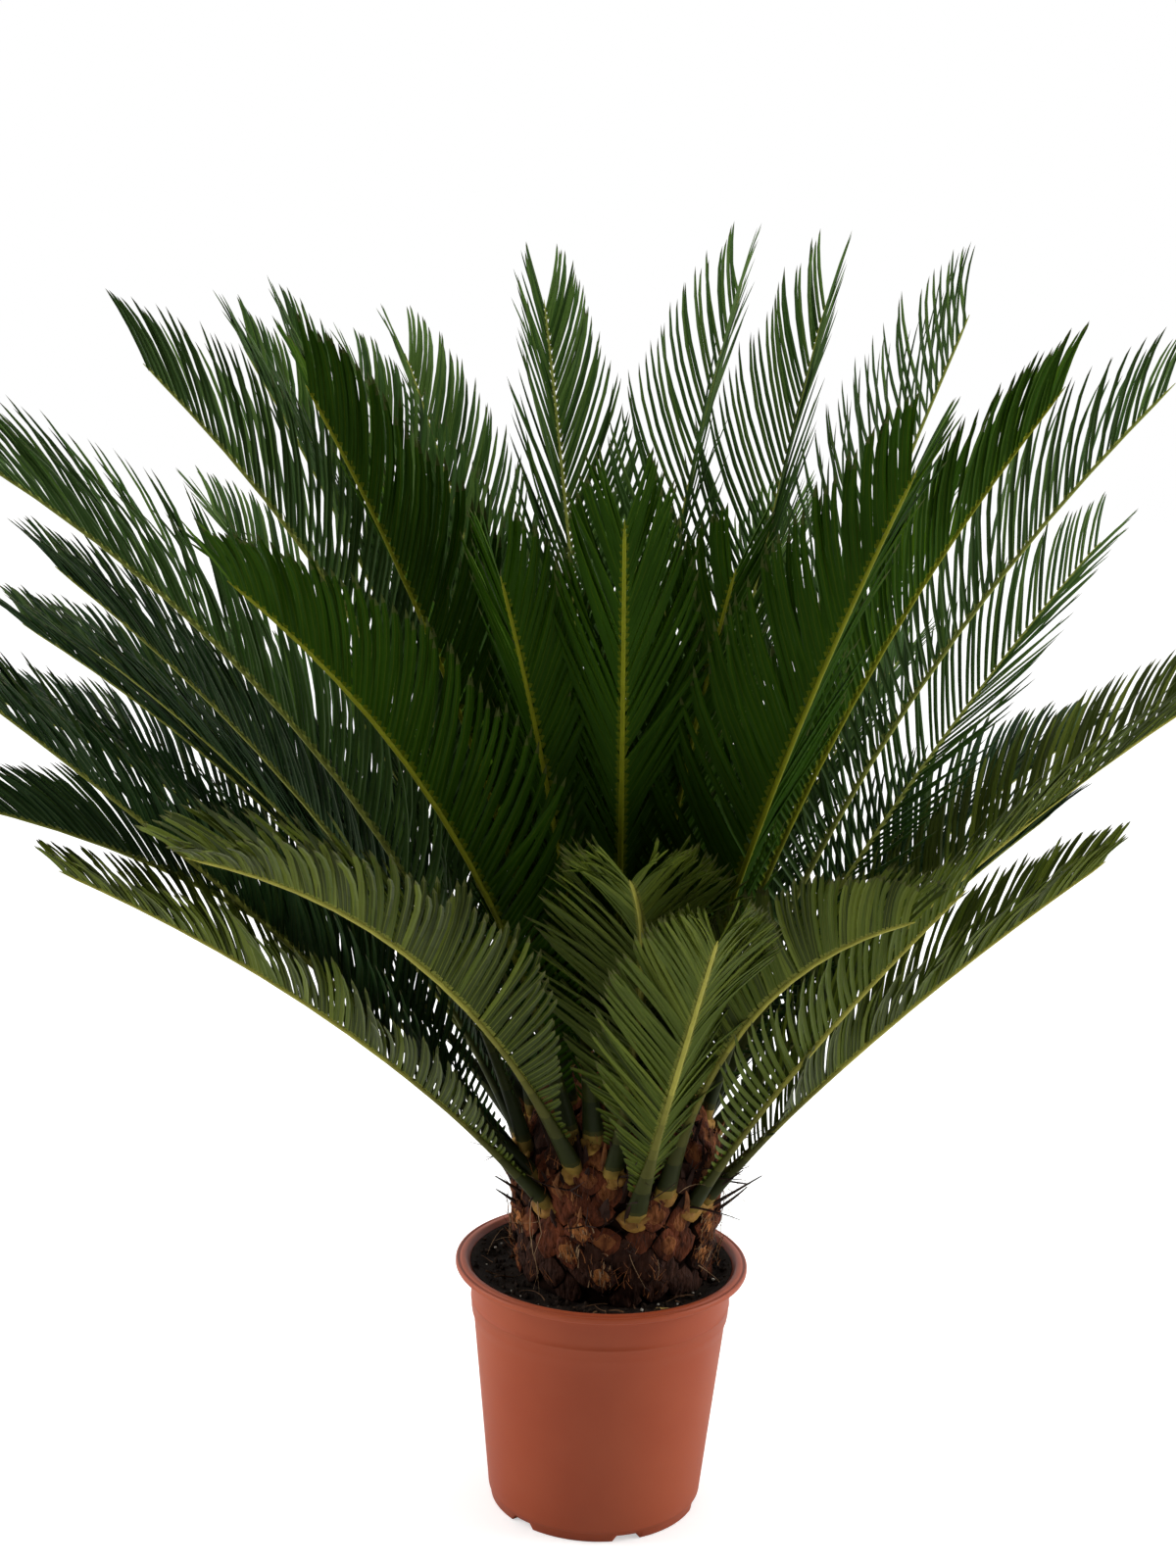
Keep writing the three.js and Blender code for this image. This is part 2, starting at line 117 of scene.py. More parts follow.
TRUNK_X = 10.0
TRUNK_FOOT = SOIL_HEIGHT + GAP
TRUNK_RADIUS = 82.0
TRUNK_WAIST = 79.0
WAIST_TOP = 250.0
SHOULDER_START = 290.0
DOME_HEIGHT = 85.0
TRUNK_TURN = 128
CORE_SINK = 1.5         # how far the core lies under the trunk's surface
CORE_LUMPS = ((0.09, 1.2), (0.3, 0.8))
BASES_FROM = 204.0      # heights between which the old leaf bases stand
BASES_TO = 371.0
CROWNED = (318, 366)    # heights between which they get the narrow form of the crown
SETTLED = (245, 205)    # and between which, downwards, they get flatter
FRESH = (212, 262)      # and between which they get redder
GOLDEN_ANGLE = 137.508
CLEAR = 13.0            # least distance from a leaf base to a frond's foot or a torn base
BUD_SCALES = 230
BUD_HEIGHTS = (256, 372)
BUD_REACH = (14, 34)
FIBRE_STEPS = 6
TUBE_TIP = 0.25         # share of its thickness that a root or fibre keeps at its tip

STALK_WIDTH = 8.0
STALK_THICKNESS = 5.0
TIP_WIDTH = 3.5
TIP_THICKNESS = 2.4
COLLAR_SWELL = (12.0, 9.0)    # width and thickness that a rib gains at the trunk
RIB_SIDES = 8
RIB_TONES = 9           # steps from the dark stalk, deepened by painted shade under the crown, to the lit rib
BARE_SHARE = 0.1        # shares of the rib: its stalk, and where its rows of leaflets run
ROW_START = 0.055
ROW_END = 0.988
LAST_PLACE = 0.985      # where leaflets get the form that they have at the tip
DRIFT_KNOTS = 16        # points of the slow random changes along a rib
ANGLE_AT_FOOT = 54.0
ANGLE_AT_TIP = 17.0
VEE = 48.0
VEE_AT_FOOT = 30.0      # leaflets lie flatter near the foot of a frond
ROLL_AT_FOOT = 2.2      # and a frond is rolled this many times further there
RISE_START = 0.06       # shares of the rib between which both change
RISE_END = 0.4

FRONT_LIGHT = 0.03      # strength of the sky in front of the plant
BACK_LIGHT = 1.15       # and behind it
FLOOR_GLOW = 0.5        # what the floor adds to its own shade where it is looked at
FLOOR_RADIUS = 14000

# Name of each light, and its place and size in metres. They are aimed at one point.
AREA_LIGHTS = (("left_soft", (-2.3, 0.0, 1.1), 1.4), ("right_soft", (2.3, 0.0, 1.1), 1.4),
               ("top_soft", (0.0, -0.5, 2.9), 1.6))
LIGHTS_AIM = (0.0, 0.0, 0.5)

# Each tint of leaflet: the distance between leaflets, their width, how light their underside
# is beside their upper face, and their gloss.
TINTS = {
    "rear": dict(pitch=7.4, width=4.2, under=0.8, gloss=0.07),
    "deep": dict(pitch=6.6, width=4.9, under=0.9, gloss=0.03),
    "sage": dict(pitch=5.0, width=4.6, under=1.05, gloss=0.1),
    # dark: fronds low in the crown's shadow, whose darker green is painted shade.
    "dark": dict(pitch=6.2, width=4.0, under=0.8, gloss=0.05),
}


def frond(at, heading, reach, top, bow, sway=0, leaflet=130, tint="rear", vee=VEE, roll=0,
          spread=0, hang=3.0, blunt=0.15, open=1.0, painted_shade_bias=0.0):
    """A frond: directions of its foot and its tip round the trunk, the tip's distance from the
    trunk's axis and its height, how far the rib bows up and sideways, its longest leaflet and
    its tint. Then how high its leaflets stand, how far it is rolled about its rib, how much
    wider the leaflets spread, how far their ends hang, how blunt they are, how far apart they
    stand and how much more painted shade its leaflets get (less where it is below 0)."""
    return dict(at=at, heading=heading, reach=reach, top=top, bow=bow, sway=sway,
                leaflet=leaflet, tint=tint, vee=vee, roll=roll, spread=spread, hang=hang,
                blunt=blunt, open=open, painted_shade_bias=painted_shade_bias)


# Name of each whorl, the height of its fronds' feet on the trunk, and its fronds.
# A frond's last number, where given, is its painted shade bias: more painted shade on fronds in
# the crown's shadow, and less on lit front ones.
WHORLS = (
    ("top", 366, (
        frond(109, 109, 275, 985, 15, 0, 140),
        frond(70, 66, 195, 1000, 10, 25, 145, open=1.4),
        frond(36, 48, 225, 990, 10, 0, 150, open=1.3),
        frond(172, 168, 290, 942, 20),
        frond(140, 138, 335, 915, 25),
        frond(282, 284, 260, 800, 20, 0, 125, "deep", blunt=0.5),
    )),
    ("upper", 352, (
        frond(28, 28, 300, 980, 10, 0, 155, vee=60, roll=18, spread=9, open=1.5),
        frond(345, 345, 315, 925, 30, 0, 132, "deep", spread=7, blunt=0.5),
        frond(267, 268, 330, 835, 20, 0, 135, "deep", blunt=0.5),
        frond(225, 225, 320, 910, 28, 0, 135, "deep", blunt=0.5),
        frond(158, 160, 350, 935, 25),
        frond(124, 126, 365, 935, 25, 0, 135),
        frond(90, 90, 360, 800, 25),
    )),
    ("middle", 335, (
        frond(358, 358, 400, 930, 40, 0, 135, vee=60, roll=18, spread=9, open=1.4),
        frond(296, 296, 380, 872, 20, 0, 135, "deep", blunt=0.5),
        frond(236, 236, 450, 793, 50, 0, 130, "deep", blunt=0.5),
        frond(254, 250, 270, 790, 20, tint="deep", blunt=0.5),
        frond(186, 184, 380, 920, 55, 0, 150, vee=60, roll=-14, spread=5),
        frond(70, 70, 430, 800, 30),
        frond(95, 95, 470, 780, 30),
        frond(120, 120, 450, 800, 30),
        frond(46, 50, 450, 830, 30),
        frond(145, 145, 470, 790, 30),
    )),
    ("lower", 312, (
        frond(32, 32, 485, 790, 20, 0, 120, roll=-26, spread=8, open=1.2),
        frond(202, 202, 540, 880, 70, 0, 150, roll=12),
        frond(182, 180, 455, 762, 35, tint="dark"),
        frond(166, 166, 480, 690, 30, tint="dark"),
        frond(244, 234, 470, 621, 47, -5, 110, "sage", VEE, 8, 3, 6, 0.9, painted_shade_bias=0.3),
        frond(268, 270, 275, 592, 44, 14, 104, "sage", 38, 0, 10, 9, 0.95, 0.68, -0.4),
        frond(12, 12, 600, 745, 35, 0, 108, "sage", 50, -6, open=1.25, painted_shade_bias=0.25),
        frond(60, 60, 550, 660, 35),
        frond(85, 85, 540, 640, 35),
        frond(110, 110, 560, 620, 35),
        frond(135, 135, 560, 650, 35),
        frond(150, 160, 570, 692, 35, 0, 130, "dark"),
    )),
    ("outer", 295, (
        frond(155, 158, 620, 620, 50, tint="dark"),
        frond(216, 204, 530, 715, 12, 0, 125, "dark", roll=10),
        frond(200, 198, 510, 604, 50, 0, 112, "dark", 66, -8, 4),
        frond(298, 305, 335, 570, 44, 0, 90, "sage", 56, 0, 18, 0, 0.95, 0.9, 0.1),
        frond(42, 40, 560, 600, 35, tint="dark"),
    )),
    ("skirt", 278, (
        frond(226, 203, 445, 560, 22, 0, 80, "sage", 44, 2, 12, 3, 0.6, 0.9, 0.35),
        frond(281, 281, 310, 560, 25, 10, 106, "sage", 42, -2, 0, 6, 0.8, 0.7, -0.5),
        frond(318, 324, 298, 570, 8, 0, 96, "sage", 44, -10, 6, open=1.4),
        frond(332, 340, 372, 584, 10, 0, 88, "sage", 46, -12, 6, 3, 0.5, 0.85, 0.4),
        frond(20, 24, 400, 560, 20, 0, 115, "dark"),
        frond(75, 75, 510, 520, 25),
        frond(102, 102, 500, 500, 25),
        frond(128, 128, 520, 510, 25),
    )),
)

# Directions round the trunk and heights of the leaf bases that are torn open.
TORN_BASES = ((205, 252), (252, 259), (245, 240), (263, 224), (327, 232), (329, 255),
              (20, 240), (52, 262), (84, 228), (118, 250), (150, 236), (178, 222))

# Each kind of fibre: how many grow on a torn base or how many spots they grow from, the
# heights between which those stand, and the least and most of their lengths and radii. The
# number of tufts is a setting.
TORN_ENDS = dict(count=60, reach=(4, 9), radius=(0.35, 0.8))
TUFTS = dict(heights=(208, 340), reach=(4, 15), radius=(0.16, 0.38))
SPINES = dict(count=22, heights=(258, 322), reach=(20, 40), radius=(0.6, 1.2))
WISPS = dict(count=46, heights=(212, 300), reach=(12, 34), radius=(0.16, 0.34))

# Direction, height and length of the longest dry spines, and the directions and heights of
# the hanging threads.
LONG_SPINES = ((336, 270, 50), (342, 262, 34), (330, 283, 38), (203, 264, 24), (208, 276, 30),
               (60, 270, 40), (140, 266, 44), (95, 280, 36))
HANGING_THREADS = (222, 228, 14, 98, 155)
THREAD_HEIGHTS = (286, 203)

# ---------------------------------------------------------------- settings


def length(name, description, default):
    """A length property, stored in metres from a default in millimetres."""
    return FloatProperty(name=name, description=description, default=default * MM,
                         unit="LENGTH", min=0.0, precision=4)


def degrees(name, description, default):
    """An angle property, stored in radians from a default in degrees."""
    return FloatProperty(name=name, description=description, default=math.radians(default),
                         subtype="ANGLE")


def tally(name, description, default):
    """A property that says how many of something are made."""
    return IntProperty(name=name, description=description, default=default, min=0)


def colour(name, description, default):
    """A colour property whose default is given as display values from 0 to 255."""
    return FloatVectorProperty(name=name, description=description, size=3, min=0.0, max=1.0,
                               subtype="COLOR", default=shade(default))


def shade(display):
    """Display values from 0 to 255 as the linear colour that nodes take."""
    parts = [value / 255 for value in display]
    return tuple(c / 12.92 if c <= 0.04045 else ((c + 0.055) / 1.055) ** 2.4 for c in parts)


class PotSettings(PropertyGroup):
    """Sizes and colours of the nursery pot and its soil."""

    rim_radius: length("Rim Radius", "Outer radius of the lip", 120)
    rim_width: length("Rim Width", "Width of the flat top of the lip", 10)
    rim_depth: length("Rim Depth", "Height of the lip's outer edge", 6)
    wall: length("Wall", "Thickness of the wall", 2.4)
    plastic: colour("Plastic", "Main colour of the pot", (158, 69, 38))
    plastic_worn: colour("Worn Plastic", "Paler colour in scuffed patches", (166, 80, 49))
    soil: colour("Soil", "Main colour of the potting soil", (40, 29, 21))
    crumbs: tally("Crumbs", "Loose crumbs on the soil", 900)


class TrunkSettings(PropertyGroup):
    """Old leaf bases, fibres and colours of the trunk."""

    scale_width: length("Scale Width", "Width of an old leaf base", 26)
    scale_height: length("Scale Height", "Height of an old leaf base", 23)
    scale_depth: length("Scale Depth", "How far a leaf base stands out", 7)
    fibres: tally("Fibre Tufts", "Tufts of dry fibre on the trunk", 260)
    bark: colour("Bark", "Colour of the weathered leaf bases", (54, 31, 21))
    russet: colour("Russet", "Colour of the fresher leaf bases", (96, 48, 26))
    straw: colour("Straw", "Colour of cut and torn ends", (182, 118, 66))


class FrondSettings(PropertyGroup):
    """Leaflets, ribs and tints of the fronds."""

    spacing: FloatProperty(name="Leaflet Spacing", default=1.0,
                           description="Scales the distance between leaflets")
    width: FloatProperty(name="Leaflet Width", default=1.0,
                         description="Scales the width of the leaflets")
    bend: degrees("Leaflet Bend", "How far a leaflet turns to the tip of its frond", 20)
    twist: degrees("Leaflet Twist", "How far a leaflet is turned like a louvre", 9)
    rear: colour("Rear Green", "Upper face of the tall fronds", (56, 84, 34))
    deep: colour("Deep Green", "Upper face of the inner fronds", (41, 71, 6))
    sage: colour("Sage Green", "Upper face of the low fronds", (76, 91, 25))
    # Painted shade: this darker green stands for the shadow over the low fronds under the crown.
    dark: colour("Dark Green", "Upper face of the shaded fronds", (34, 58, 26))
    rear_rib: colour("Rear Rib", "Ribs of the tall fronds", (132, 138, 60))
    deep_rib: colour("Deep Rib", "Ribs of the inner fronds", (120, 124, 18))
    sage_rib: colour("Sage Rib", "Ribs of the low fronds", (164, 160, 70))
    # The rib of the dark fronds, darkened with them as painted shade.
    dark_rib: colour("Dark Rib", "Ribs of the shaded fronds", (122, 126, 52))


class StageSettings(PropertyGroup):
    """Camera, floor and lights."""

    distance: length("Camera Distance", "Camera distance in front of the pot's axis", 1693)
    height: length("Camera Height", "Camera height above the floor", 927)
    pitch: degrees("Pitch", "Downward tilt of the camera", 10.8)
    yaw: degrees("Yaw", "Turn of the camera to the right", -0.8)
    roll: degrees("Roll", "Clockwise turn of the picture", 1.85)
    lens: FloatProperty(name="Lens", description="Focal length", default=50.0, unit="CAMERA")
    key: FloatProperty(name="Key Light", description="Power of each area light", default=36.0,
                       unit="POWER")


# ---------------------------------------------------------------- meshes and pieces


def linked(name, data):
    """A new object in the scene that shows a mesh, a camera or a light."""
    thing = bpy.data.objects.new(name, data)
    bpy.context.scene.collection.objects.link(thing)
    return thing


def add_piece(name, mesh, materials, nodes=()):
    """Links a mesh as a piece of the plant that rides with the root and stands for the nodes."""
    mesh.name = name
    piece = linked(name, mesh)
    for finish in materials:
        mesh.materials.append(finish)
    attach(piece, "root")
    if nodes:
        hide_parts(*nodes)


def mesh_from(bm, smooth=True):
    """Turns a bmesh in millimetres into a mesh in metres."""
    bmesh.ops.recalc_face_normals(bm, faces=bm.faces)
    bmesh.ops.scale(bm, vec=(MM, MM, MM), verts=bm.verts)
    for face in bm.faces:
        face.smooth = smooth
    mesh = bpy.data.meshes.new("shape")
    bm.to_mesh(mesh)
    bm.free()
    return mesh


def mesh_of_copies(points, faces, slots, smooth=False):
    """Joins many copies of one shape: points is copies x corners x 3, and slots is one for
    all, one per face, a column with one per copy, or one row of them per copy."""
    copies, corners = points.shape[:2]
    loop = np.concatenate([np.array(face) for face in faces])
    sizes = np.array([len(face) for face in faces])
    starts = np.concatenate([[0], np.cumsum(sizes)[:-1]])
    step = np.arange(copies)[:, None]
    loops = (loop[None, :] + corners * step).ravel()
    face_starts = (starts[None, :] + loop.size * step).ravel()
    slots = np.broadcast_to(np.asarray(slots), (copies, len(faces)))
    mesh = bpy.data.meshes.new("shape")
    mesh.vertices.add(copies * corners)
    mesh.vertices.foreach_set("co", (points * MM).astype(np.float32).ravel())
    mesh.loops.add(loops.size)
    mesh.loops.foreach_set("vertex_index", loops.astype(np.int32))
    mesh.polygons.add(face_starts.size)
    mesh.polygons.foreach_set("loop_start", face_starts.astype(np.int32))
    mesh.polygons.foreach_set("material_index", slots.ravel().astype(np.int32))
    mesh.polygons.foreach_set("use_smooth", np.full(face_starts.size, smooth))
    mesh.update(calc_edges=True)
    mesh.validate()
    return mesh


def template(bm):
    """Corner points, faces and slots of a small bmesh shape, which is then freed."""
    bm.verts.index_update()
    points = np.array([v.co[:] for v in bm.verts])
    faces = [[v.index for v in face.verts] for face in bm.faces]
    slots = [face.material_index for face in bm.faces]
    bm.free()
    return points, faces, slots


def turned(profile, steps):
    """A bmesh turned about the upright axis from a section's radii and heights."""
    bm = bmesh.new()
    verts = [bm.verts.new((radius, 0, height)) for radius, height in profile]
    edges = [bm.edges.new(pair) for pair in zip(verts, verts[1:])]
    bmesh.ops.spin(bm, geom=verts + edges, cent=(0, 0, 0), axis=(0, 0, 1),
                   angle=2 * math.pi, steps=steps, use_merge=True, use_duplicate=False)
    bmesh.ops.remove_doubles(bm, verts=bm.verts, dist=0.01)
    return bm


def ring_faces(rings, sides):
    """Faces between rings of corner points, from the first ring to the last."""
    return [[ring * sides + i, ring * sides + (i + 1) % sides,
             (ring + 1) * sides + (i + 1) % sides, (ring + 1) * sides + i]
            for ring in range(rings - 1) for i in range(sides)]


def tube_faces(rings, sides):
    """Faces of a tube: those between its rings, then its two ends."""
    last = (rings - 1) * sides
    return ring_faces(rings, sides) + [list(range(sides))[::-1], list(range(last, last + sides))]


def tubes(paths, radii, sides, slots=0):
    """Thin tapered tubes along many paths of one length: paths is tubes x steps x 3, and
    radii and slots hold one value per tube."""
    count, steps = paths.shape[:2]
    along = unit(np.gradient(paths, axis=1) + 1e-9)
    across = unit(np.cross(along, np.array([0.31, 0.17, 0.93])))
    over = np.cross(along, across)
    turn = np.arange(sides) / sides * 2 * np.pi
    taper = mix(1.0, TUBE_TIP, np.linspace(0, 1, steps))
    ring = (across[:, :, None, :] * np.cos(turn)[None, None, :, None]
            + over[:, :, None, :] * np.sin(turn)[None, None, :, None])
    ring *= radii[:, None, None, None] * taper[None, :, None, None]
    points = (paths[:, :, None, :] + ring).reshape(count, steps * sides, 3)
    return mesh_of_copies(points, tube_faces(steps, sides), np.asarray(slots)[..., None])


def mix(a, b, share):
    return a + (b - a) * share


def smooth_step(value, low, high):
    share = np.clip((value - low) / (high - low), 0, 1)
    return share * share * (3 - 2 * share)


def unit(vectors):
    return vectors / np.linalg.norm(vectors, axis=-1, keepdims=True)


def lumpiness(point, lumps):
    """Sum of noises at a point, each given by its scale and its height."""
    return sum(noise.noise(point * scale) * height for scale, height in lumps)


# ---------------------------------------------------------------- the plant's rule


def trunk_radius(height):
    """Radius of the trunk: a waist at the soil, a straight stretch and a dome."""
    if height > SHOULDER_START:
        rise = (height - SHOULDER_START) / DOME_HEIGHT
        return TRUNK_RADIUS * math.sqrt(max(0.0, 1 - rise * rise))
    return mix(TRUNK_WAIST, TRUNK_RADIUS, float(smooth_step(height, TRUNK_FOOT, WAIST_TOP)))


def trunk_slope(height):
    """How much the trunk narrows for each millimetre up."""
    return (trunk_radius(height - 1) - trunk_radius(height + 1)) / 2


def on_trunk(angle, height, offset=0.0):
    """A point on the trunk, the direction out of its surface and the one up along it."""
    around = np.array([math.cos(angle), math.sin(angle), 0.0])
    out = unit(around + np.array([0, 0, trunk_slope(height)]))
    up = np.cross(out, np.cross([0.0, 0.0, 1.0], around))
    point = np.array([TRUNK_X, 0, height]) + around * trunk_radius(height) + out * offset
    return point, out, unit(up)


def rib_curve(sizes, seat):
    """Foot, middle control point and tip of a frond's rib."""
    foot = on_trunk(math.radians(sizes["at"]), seat)[0]
    turn = math.radians(sizes["heading"])
    reach = sizes["reach"]
    tip = np.array([TRUNK_X + reach * math.cos(turn), reach * math.sin(turn), sizes["top"]])
    side = np.array([-math.sin(turn), math.cos(turn), 0.0])
    over = unit(np.cross(tip - foot, side))
    if over[2] < 0:
        over = -over
    middle = (foot + tip) / 2 + over * 2 * sizes["bow"] + side * 2 * sizes["sway"]
    return foot, middle, tip


def rib_frames(curve, shares):
    """Centre, direction, up and right of a rib at each share of its length."""
    foot, middle, tip = curve
    t = np.asarray(shares)[:, None]
    centre = (1 - t) ** 2 * foot + 2 * t * (1 - t) * middle + t ** 2 * tip
    along = unit((1 - t) * (middle - foot) + t * (tip - middle))
    up = unit(np.array([0, 0, 1.0]) - along * along[:, 2:])
    return centre, along, up, np.cross(along, up)


def rib_length(curve):
    centre = rib_frames(curve, np.linspace(0, 1, 60))[0]
    return float(np.linalg.norm(np.diff(centre, axis=0), axis=1).sum())


def leaflet_length(share, longest):
    """Length of the leaflets at each share of their rows, longest about the middle."""
    body = np.sin(np.pi * np.minimum(1, 0.1 + 0.86 * share)) ** 0.7
    return longest * (0.3 + 0.7 * body)


def all_fronds():
    """Name, sizes and curve of every frond, from the heart of the crown outwards."""
    for whorl, seat, fronds in WHORLS:
        for number, sizes in enumerate(fronds, 1):
            yield f"frond_{whorl}_{number}", sizes, rib_curve(sizes, seat)


# ---------------------------------------------------------------- materials


def set_inputs(node, values):
    """Sets the inputs of a node that the values name, and gives the node back."""
    for label, value in values.items():
        node.inputs[label].default_value = value
    return node


def new_node(tree, kind, values=None):
    """A new shader node of one kind, with some of its inputs set."""
    return set_inputs(tree.nodes.new(f"ShaderNode{kind}"), values or {})


def wire(tree, *wires):
    """Links nodes: each wire is a node and its output, then a node and its input."""
    for source, output, target, entry in wires:
        tree.links.new(source.outputs[output], target.inputs[entry])


def node_group(name, inputs, outputs):
    """A new shader node group with its sockets, and its input and output nodes."""
    group = bpy.data.node_groups.new(name, "ShaderNodeTree")
    for label, kind, default in inputs:
        socket = group.interface.new_socket(label, in_out="INPUT", socket_type=kind)
        socket.default_value = default
    for label, kind in outputs:
        group.interface.new_socket(label, in_out="OUTPUT", socket_type=kind)
    return group, group.nodes.new("NodeGroupInput"), group.nodes.new("NodeGroupOutput")


def mottle_group():
    """Patches and fine speckle that blend two colours, with a mask and a height."""
    group, inlet, outlet = node_group("Mottle", (
        ("Color A", "NodeSocketColor", (0.5, 0.5, 0.5, 1)),
        ("Color B", "NodeSocketColor", (0.6, 0.6, 0.6, 1)),
        ("Patch Scale", "NodeSocketFloat", 30.0),
        ("Speckle Scale", "NodeSocketFloat", 600.0),
        ("Speckle", "NodeSocketFloat", 0.3),
        ("Speckle Low", "NodeSocketFloat", 0.0),
        ("Speckle High", "NodeSocketFloat", 1.0),
        ("Stretch", "NodeSocketVector", (1.0, 1.0, 1.0)),
    ), (("Color", "NodeSocketColor"), ("Mask", "NodeSocketFloat"), ("Height", "NodeSocketFloat")))
    place = new_node(group, "TexCoord")
    stretch = new_node(group, "Mapping")
    patches = new_node(group, "TexNoise", {"Detail": 3.0})
    speckle = new_node(group, "TexNoise", {"Detail": 2.0})
    spread = new_node(group, "MapRange", {"From Min": 0.35, "From Max": 0.65})
    sharp = new_node(group, "MapRange")
    blend = new_node(group, "Mix")
    colours = new_node(group, "Mix")
    colours.data_type = "RGBA"
    wire(
        group,
        (place, "Object", stretch, "Vector"), (inlet, "Stretch", stretch, "Scale"),
        (stretch, "Vector", patches, "Vector"), (stretch, "Vector", speckle, "Vector"),
        (inlet, "Patch Scale", patches, "Scale"), (inlet, "Speckle Scale", speckle, "Scale"),
        (patches, "Fac", spread, "Value"), (speckle, "Fac", sharp, "Value"),
        (inlet, "Speckle Low", sharp, "From Min"), (inlet, "Speckle High", sharp, "From Max"),
        (inlet, "Speckle", blend, "Factor"),
        (spread, "Result", blend, "A"), (sharp, "Result", blend, "B"),
        (blend, "Result", colours, "Factor"),
        (inlet, "Color A", colours, "A"), (inlet, "Color B", colours, "B"),
        (colours, "Result", outlet, "Color"), (blend, "Result", outlet, "Mask"),
        (sharp, "Result", outlet, "Height"),
    )
    return group


def finish_material(name, first, second, roughness=0.8, patch=120.0, fine=600.0, speckle=0.3,
                    span=1.0, stretch=(1, 1, 1), bump=0.0, bump_depth=0.001, specular=0.15):
    """A principled material whose colour and roughness move with the mottle: patch and fine
    are the scales of its patches and speckle, span is the part of the speckle's range that is
    stretched to all of it, and bump_depth is in metres."""
    material = bpy.data.materials.new(name)
    material.use_nodes = True
    tree = material.node_tree
    shader = set_inputs(tree.nodes["Principled BSDF"], {"Specular IOR Level": specular})
    mottle = new_node(tree, "Group")
    mottle.node_tree = bpy.data.node_groups.get("Mottle") or mottle_group()
    set_inputs(mottle, {
        "Color A": (*first, 1), "Color B": (*second, 1), "Patch Scale": patch,
        "Speckle Scale": fine, "Speckle": speckle, "Speckle Low": (1 - span) / 2,
        "Speckle High": (1 + span) / 2, "Stretch": stretch,
    })
    gloss = new_node(tree, "MapRange", {"To Min": roughness - 0.05, "To Max": roughness + 0.05})
    wire(tree, (mottle, "Color", shader, "Base Color"), (mottle, "Mask", gloss, "Value"),
         (gloss, "Result", shader, "Roughness"))
    if bump:
        relief = new_node(tree, "Bump", {"Strength": bump, "Distance": bump_depth})
        wire(tree, (mottle, "Height", relief, "Height"), (relief, "Normal", shader, "Normal"))
    return material


def tinted(colour_value, factor):
    """A colour made lighter or darker, with its hue kept."""
    return tuple(min(1.0, c * factor) for c in colour_value)


def mixed(first, second, share):
    return tuple(mix(a, b, share) for a, b in zip(first, second))


# ---------------------------------------------------------------- pot


class PALM_OT_pot(Operator):
    """Make the nursery pot: a turned shell with its lip, step and notched foot"""

    bl_idname = "palm.pot"
    bl_label = "Pot"

    def execute(self, context):
        settings = context.scene.palm_pot
        bm = turned(pot_profile(settings), POT_TURN)
        cut_notches(bm)
        plastic = finish_material(
            "terracotta_plastic", settings.plastic, settings.plastic_worn, roughness=0.46,
            patch=9.0, fine=900.0, speckle=0.12, bump=0.12, bump_depth=0.0004, specular=0.24)
        add_piece("nursery_pot", mesh_from(bm), [plastic], ["pot"])
        return {"FINISHED"}


def near(radius, height, *steps):
    """Points of a section, each given by how far out and up it lies from one place."""
    return [(radius + out, height + up) for out, up in steps]


def pot_profile(settings):
    """Radius and height of the pot's section, from the underside's centre round to the floor."""
    rim, lip_width, drop, wall = (value / MM for value in (
        settings.rim_radius, settings.rim_width, settings.rim_depth, settings.wall))
    edge = POT_HEIGHT - drop
    ring = FOOT_RADIUS - FOOT_RING_WIDTH
    underside = [(0, 0), (PAD_RADIUS, 0), (PAD_RADIUS + 1.4, 1.2), (PAD_RADIUS + 2, FOOT_HEIGHT)]
    foot = [(ring - 1, FOOT_HEIGHT), (ring, 0.4), (ring + 0.5, 0)]
    foot += near(FOOT_RADIUS, 0, (-1.6, 0), (-0.8, 0.6))
    foot += near(FOOT_RADIUS, FOOT_HEIGHT, (-0.2, -0.6), (0.2, 0), (1.3, 0.6), (1.6, 2))
    body = [(mix(FOOT_RADIUS + 1.5, SHOULDER_RADIUS,
                 (height - BODY_FOOT) / (SHOULDER_HEIGHT - BODY_FOOT)), height)
            for height in BODY_RINGS]
    body += near(SHOULDER_RADIUS, SHOULDER_HEIGHT, (0, 0), (0.5, 3.5))
    collar = near(COLLAR_RADIUS, COLLAR_FOOT, (-2.4, -2.5), (-1.9, 0.5))
    collar += near(COLLAR_RADIUS, MOULD_LINE, (-1.6, -0.6), (-1.1, 0), (-1.55, 0.6), (-1.2, 6),
                   (-0.4, 20))
    collar += near(COLLAR_RADIUS, edge, (0.1, -1.6), (1.6, 0))
    lip = near(rim, edge, (-1.4, 0), (-0.5, 0.4), (0, 1.3))
    lip += near(rim, POT_HEIGHT, (0, -2.2), (-0.4, -1.2), (-1.2, -0.7), (-2.2, -1.0),
                (-2.9, -1.6), (-3.6, -1.4), (-4.2, -0.4), (-4.9, 0))
    lip += near(rim - lip_width, POT_HEIGHT, (2.2, 0), (0.8, -0.5), (0, -1.8))
    inside = [(COLLAR_RADIUS - wall, edge), (COLLAR_RADIUS - 2 - wall, COLLAR_FOOT),
              (SHOULDER_RADIUS - wall, SHOULDER_HEIGHT),
              (FOOT_RADIUS - wall, FOOT_HEIGHT + POT_FLOOR), (0, FOOT_HEIGHT + POT_FLOOR)]
    return underside + foot + body + collar + lip + inside


